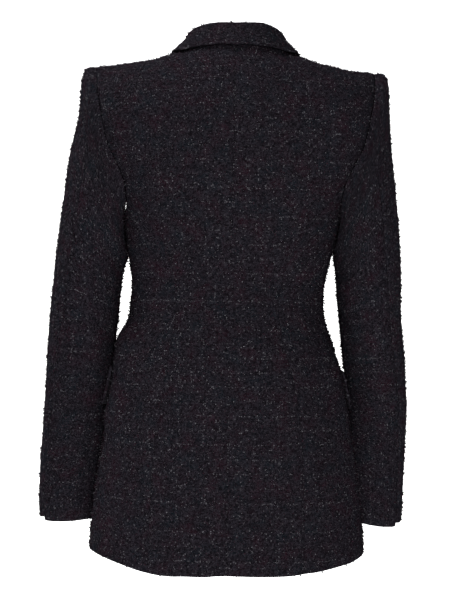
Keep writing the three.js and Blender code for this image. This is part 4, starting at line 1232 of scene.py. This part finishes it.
def loopTree():
    tree, given, result = newGroup(
        "yarnLoops",
        [("Cloth", "NodeSocketGeometry", None), ("Seed", "NodeSocketInt", 1)] + loopInputs,
        [("Loops", "NodeSocketGeometry")],
        "GeometryNodeTree",
    )
    out = given.outputs
    points = makeNode(tree, "GeometryNodeDistributePointsOnFaces", {
        "Mesh": out["Cloth"], "Density": out["Density"], "Seed": out["Seed"],
    }, distribute_method="RANDOM")
    halfLoop = calculate(tree, "MULTIPLY", out["Loop"], 0.5)
    foot = calculate(tree, "MULTIPLY", halfLoop, -1.0)
    depth = calculate(tree, "MULTIPLY", out["Yarn"], -yarnLook["sunk"])
    start = makeNode(tree, "ShaderNodeCombineXYZ", {0: foot, 2: depth})
    end = makeNode(tree, "ShaderNodeCombineXYZ", {0: halfLoop, 2: depth})
    top = calculate(tree, "MULTIPLY", out["Rise"], yarnLook["peak"])
    middle = makeNode(tree, "ShaderNodeCombineXYZ", {2: top})
    bends, corners = yarnLook["segments"]
    arc = makeNode(tree, "GeometryNodeCurveQuadraticBezier", {
        "Resolution": bends, "Start": start.outputs[0], "Middle": middle.outputs[0], "End": end.outputs[0],
    })
    ring = makeNode(tree, "GeometryNodeCurvePrimitiveCircle", {"Resolution": corners, "Radius": out["Yarn"]})
    loop = makeNode(tree, "GeometryNodeCurveToMesh", {
        "Curve": arc.outputs[0], "Profile Curve": ring.outputs[0],
    })
    tilt = yarnLook["tilt"]
    spin = makeNode(tree, "FunctionNodeRandomValue", {
        0: (-tilt, -tilt, 0.0), 1: (tilt, tilt, 2 * pi), "Seed": out["Seed"],
    }, data_type="FLOAT_VECTOR")
    spin = makeNode(tree, "FunctionNodeEulerToRotation", {0: spin.outputs[0]})
    turned = makeNode(tree, "FunctionNodeRotateRotation", {
        "Rotation": points.outputs["Rotation"], "Rotate By": spin.outputs[0],
    }, rotation_space="LOCAL")
    # most loops lie low and dark, and a few stand out and are bright
    luck = makeNode(tree, "FunctionNodeRandomValue", {
        2: 0.0, 3: 1.0, "Seed": out["Seed"],
    }, data_type="FLOAT").outputs[1]
    narrow, broad = yarnLook["widths"]
    low, high = yarnLook["heights"]
    wide = calculate(tree, "MULTIPLY_ADD", luck, broad - narrow, narrow)
    tall = calculate(tree, "POWER", luck, yarnLook["rarity"])
    tall = calculate(tree, "MULTIPLY_ADD", tall, high - low, low)
    scale = makeNode(tree, "ShaderNodeCombineXYZ", {0: wide, 1: wide, 2: tall})
    # each loop keeps the way its cloth faces, for its shading
    facing = makeNode(tree, "GeometryNodeStoreNamedAttribute", {
        "Geometry": points.outputs["Points"], "Name": "clothNormal", "Value": points.outputs["Normal"],
    }, data_type="FLOAT_VECTOR", domain="POINT")
    placed = makeNode(tree, "GeometryNodeInstanceOnPoints", {
        "Points": facing.outputs[0], "Instance": loop.outputs[0],
        "Rotation": turned.outputs[0], "Scale": scale.outputs[0],
    })
    stored = makeNode(tree, "GeometryNodeStoreNamedAttribute", {
        "Geometry": placed.outputs[0], "Name": "yarnShade", "Value": luck,
    }, data_type="FLOAT", domain="INSTANCE")
    real = makeNode(tree, "GeometryNodeRealizeInstances", {0: stored.outputs[0]})
    dressed = makeNode(tree, "GeometryNodeSetMaterial", {
        "Geometry": real.outputs[0], "Material": out["Material"],
    })
    tree.links.new(dressed.outputs[0], result.inputs[0])
    return tree


def setInput(modifier, label, value):
    for item in modifier.node_group.interface.items_tree:
        if item.item_type == "SOCKET" and item.in_out == "INPUT" and item.name == label:
            modifier[item.identifier] = value


loopsTree = loopTree()
for seed, entry in enumerate(sheets, 11):
    bare = entry["outside"]
    modifier = bare.modifiers.new("yarnLoops", "NODES")
    modifier.node_group = loopsTree
    for label, _, value in loopInputs:
        setInput(modifier, label, value)
    setInput(modifier, "Seed", seed)
    evaluated = bare.evaluated_get(bpy.context.evaluated_depsgraph_get())
    finished = bpy.data.meshes.new_from_object(evaluated)
    bare.modifiers.clear()
    bare.data = finished
    finished.name = bare.name

print("frame")
# each kind of piece with its node and what it rests on
placeOf = {
    "clothBack": ("back", "clothSide"),
    "clothSide": ("side", "clothBack"),
    "clothFront": ("front", "clothSide"),
    "clothLapel": ("lapel", "clothFront"),
    "clothFlap": ("pocket_flap", "clothSide"),
    "clothSleeveUnder": ("sleeve_under", "clothBack"),
    "clothSleeveUpper": ("sleeve_upper", "clothBack"),
}
for entry in sheets:
    piece, bare = entry["piece"], entry["outside"]
    kind, _, word = piece.name.partition("_")
    node, under = "collar", ["clothBack_left", "clothBack_right"]
    if word:
        node, under = f"{placeOf[kind][0]}_{word}", [f"{placeOf[kind][1]}_{word}"]
    for made in (piece, bare):
        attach(made, "root")
    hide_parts(node)
    width, length = entry["flat"]

print("buttons")
buttonCut = {
    "radius": 11,
    "thick": 4.2,
    "rim": 0.9,            # radius of its rounded edge
    "rimSteps": 7,
    "under": 0.4,          # how much narrower its back is
    "dish": 1.2,
    "dishEdge": (2.6, 1.6),    # from the rim to the dish and down into it, in rims
    "dishSteps": 7,
    "groove": ((0.5, 0), (0.68, 0.16), (0.86, 0.16), (1.04, 0), (3, -0.1)),  # a fine ring in the face
    "crown": 0.05,         # of the face's middle
    "stem": 2.6,
    "stemRound": 0.3,
    "lift": 1.6,           # of the button above the cloth
    "seat": 0.35,          # of all of it above the cloth's own surface
    "sunk": 0.6,           # of the stem into it
    "heights": (-318, -422),
    "around": 64,
}
buttonholeCut = {
    "start": 1,            # distances from the middle, on the right front
    "end": 20.5,
    "pitch": 0.72,
    "open": 0.15,          # half the slit
    "stitch": (1.5, 0.6, 0.5),
    "tack": 3.4,
    "seat": 0.05,
    "around": 6,
}
# both materials: streaks along the object's own axes, fine specks
streakLook = {
    "detail": 4.0,
    "distortion": 0.8,
    "range": (0.36, 0.7),
    "specks": 2600.0,
    "speckDetail": 2.0,
    "speckRoughness": 0.16,
    "speckBump": 0.4,
    "specular": 0.2,
}
hornLook = {
    "dark": (0.0025, 0.0020, 0.0022, 1),
    "pale": (0.010, 0.007, 0.006, 1),
    "stretch": (90, 90, 420),
    "roughness": 0.42,
    "bump": 0.00004,
}
threadLook = {
    "dark": (0.002, 0.002, 0.0024, 1),
    "pale": (0.008, 0.008, 0.009, 1),
    "stretch": (900, 900, 900),
    "roughness": 0.62,
    "bump": 0.00012,
}


def streakedMaterial(name, look):
    material, tree = newMaterial(name)
    place = makeNode(tree, "ShaderNodeTexCoord").outputs["Object"]
    streaks = makeNode(tree, "ShaderNodeTexNoise", {
        "Vector": moved(tree, "MULTIPLY", place, look["stretch"]),
        "Scale": 1.0, "Detail": streakLook["detail"], "Distortion": streakLook["distortion"],
    })
    specks = makeNode(tree, "ShaderNodeTexNoise", {
        "Vector": place, "Scale": streakLook["specks"], "Detail": streakLook["speckDetail"],
    }).outputs[0]
    bump = makeNode(tree, "ShaderNodeBump", {
        "Height": specks, "Strength": streakLook["speckBump"], "Distance": look["bump"],
    })
    share = ranged(tree, streaks.outputs[0], *streakLook["range"])
    rough = calculate(tree, "MULTIPLY_ADD", specks, streakLook["speckRoughness"], look["roughness"])
    addShader(tree, {
        "Base Color": blended(tree, share, look["dark"], look["pale"]),
        "Roughness": rough,
        "Specular IOR Level": streakLook["specular"],
        "Normal": bump.outputs[0],
    })
    return material


horn, thread = streakedMaterial("horn", hornLook), streakedMaterial("thread", threadLook)


def onRightFront(x, z, lift):
    # a place on the outside of the right front and the way it faces, as seen in the whole blazer
    points, normals = clothPoint(surfacePoint([[x]], [[z]], -1), right, lift=lift)
    points = wobble(points, normals, right)
    return Vector(mirrored(points, right)[0, 0]), Vector(mirrored(normals, right)[0, 0]).normalized()


def plainMesh(name, points, faces, material, smooth):
    mesh = bpy.data.meshes.new(name)
    mesh.from_pydata([tuple(point * mm) for point in points], [], faces)
    mesh.materials.append(material)
    mesh.polygons.foreach_set("use_smooth", np.full(len(faces), smooth))
    made = bpy.data.objects.new(name, mesh)
    bpy.context.scene.collection.objects.link(made)
    return made


def tubeFaces(rings, around, first=0):
    # the faces between rings of points, each ring following the last
    return [
        (first + ring * around + k, first + ring * around + (k + 1) % around,
         first + (ring + 1) * around + (k + 1) % around, first + (ring + 1) * around + k)
        for ring in range(rings - 1) for k in range(around)
    ]


def buttonProfile():
    radius, rim, lift = buttonCut["radius"], buttonCut["rim"], buttonCut["lift"]
    top, stem, bend = lift + buttonCut["thick"], buttonCut["stem"], buttonCut["stemRound"]
    face = top - buttonCut["dish"]
    profile = [(stem, -buttonCut["sunk"]), (stem, lift - bend), (stem + bend, lift)]
    profile.append((radius - rim - buttonCut["under"], lift))
    for start, end, centre in ((-pi / 2, 0, lift + rim), (0, pi / 2, top - rim)):
        for turn in np.linspace(start, end, buttonCut["rimSteps"]):
            profile.append((radius - rim + rim * np.cos(turn), centre + rim * np.sin(turn)))
    flat, slope = buttonCut["dishEdge"]
    profile.append((radius - flat * rim, top))
    for share in np.linspace(0, 1, buttonCut["dishSteps"])[1:]:
        profile.append((radius - (flat + slope * share) * rim, mix(top, face, ease(0, 1, share))))
    for step, depth in buttonCut["groove"]:
        profile.append((radius - (flat + slope) * rim - step, face - depth))
    return profile


for number, height in enumerate(buttonCut["heights"], 1):
    seat, facing = onRightFront(0, height, buttonCut["seat"])
    aim = facing.to_track_quat("Z", "Y").to_matrix()
    profile = buttonProfile()
    count = buttonCut["around"]
    points = [
        seat + aim @ Vector((reach * np.cos(turn), reach * np.sin(turn), lift))
        for reach, lift in profile for turn in np.arange(count) * 2 * pi / count
    ]
    points += [seat + facing * profile[0][1], seat + facing * (profile[-1][1] + buttonCut["crown"])]
    last = (len(profile) - 1) * count
    faces = tubeFaces(len(profile), count)
    faces += [(len(points) - 2, (k + 1) % count, k) for k in range(count)]
    faces += [(len(points) - 1, last + k, last + (k + 1) % count) for k in range(count)]
    made = plainMesh(f"hornButton_{number}", points, faces, horn, True)
    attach(made, "root")
    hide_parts(f"button_{number}")

    # the buttonhole, two rows of stitches and a bar across its inner end
    long, wide, high = buttonholeCut["stitch"]
    places = np.arange(buttonholeCut["start"], buttonholeCut["end"], buttonholeCut["pitch"])
    bars = [(x, row * (buttonholeCut["open"] + long / 2), long) for x in places for row in (-1, 1)]
    bars.append((buttonholeCut["end"], 0, buttonholeCut["tack"]))
    points, faces = [], []
    count = buttonholeCut["around"]
    for x, rise, length in bars:
        middle, facing = onRightFront(x, height + rise, buttonholeCut["seat"])
        along = (Vector((0, 0, 1)) - facing * facing.z).normalized()
        aside = along.cross(facing)
        first = len(points)
        for reach in (-length / 2, length / 2):
            for turn in np.arange(count) * 2 * pi / count:
                out = aside * (wide / 2 * np.cos(turn)) + facing * (high * np.sin(turn))
                points.append(middle + along * reach + out)
        faces += tubeFaces(2, count, first)
        faces.append(tuple(first + k for k in reversed(range(count))))
        faces.append(tuple(first + count + k for k in range(count)))
    made = plainMesh(f"buttonhole_{number}", points, faces, thread, False)
    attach(made, "root")

print("lights and floor")
studio = {
    "world": 0.05,
    # place, aimed at, size in metres, watts
    "lights": {
        "keyLight": ((0.0, 3.6, 0.0), (0, 0, -0.4), 1.0, 228),
        "fillLight": ((-0.2, 3.5, -0.4), (0, 0, -0.4), 1.0, 86),
        "topLight": ((1.1, 0.0, 2.3), (0, 0, 0), 1.2, 225),
        "leftEdgeLight": ((2.6, -1.3, 0.4), (0, 0, -0.3), 1.2, 170),
        "rightEdgeLight": ((-2.6, -1.3, 0.4), (0, 0, -0.3), 1.2, 110),
        "frontLight": ((0.6, -3.0, 1.2), (0, 0, -0.3), 2.0, 210),
        "backdropLight": ((0.0, -2.0, 3.2), (0, -4.2, 0.2), 3.0, 120),
    },
    # the floor bends up into a wall behind the blazer's front
    "halfWidth": 9000,
    "floorFront": 9000,
    "floorHeight": -1600,
    "bendStart": -3000,
    "bend": 1200,
    "bendTurns": (0.1, pi / 2, 14),
    "wallTop": 6000,
    "paint": (0.75, 0.75, 0.75, 1),
    "paintRoughness": 0.9,
}
scene = bpy.context.scene
scene.view_settings.view_transform = "Standard"
world = bpy.data.worlds.new("studio")
scene.world = world
world.use_nodes = True
world.node_tree.nodes["Background"].inputs["Color"].default_value = (1, 1, 1, 1)
world.node_tree.nodes["Background"].inputs["Strength"].default_value = studio["world"]
for name, (place, aim, size, energy) in studio["lights"].items():
    data = bpy.data.lights.new(name, "AREA")
    data.shape = "DISK"
    data.size = size
    data.energy = energy
    lamp = bpy.data.objects.new(name, data)
    scene.collection.objects.link(lamp)
    lamp.location = place
    lamp.rotation_euler = (Vector(aim) - Vector(place)).to_track_quat("-Z", "Y").to_euler()

paint, paintTree = newMaterial("floorPaint")
addShader(paintTree, {"Base Color": studio["paint"], "Roughness": studio["paintRoughness"]})
bendStart, bend, low = studio["bendStart"], studio["bend"], studio["floorHeight"]
outline = [(studio["floorFront"], low), (0, low), (bendStart, low)]
outline += [
    (bendStart - bend * np.sin(turn), low + bend - bend * np.cos(turn))
    for turn in np.linspace(*studio["bendTurns"])
]
outline.append((bendStart - bend, studio["wallTop"]))
points = [np.array((x, y, z)) for x in (-studio["halfWidth"], studio["halfWidth"]) for y, z in outline]
count = len(outline)
faces = [(k, count + k, count + k + 1, k + 1) for k in range(count - 1)]
plainMesh("floor", points, faces, paint, True)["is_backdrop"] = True

print("size")
low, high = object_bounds()
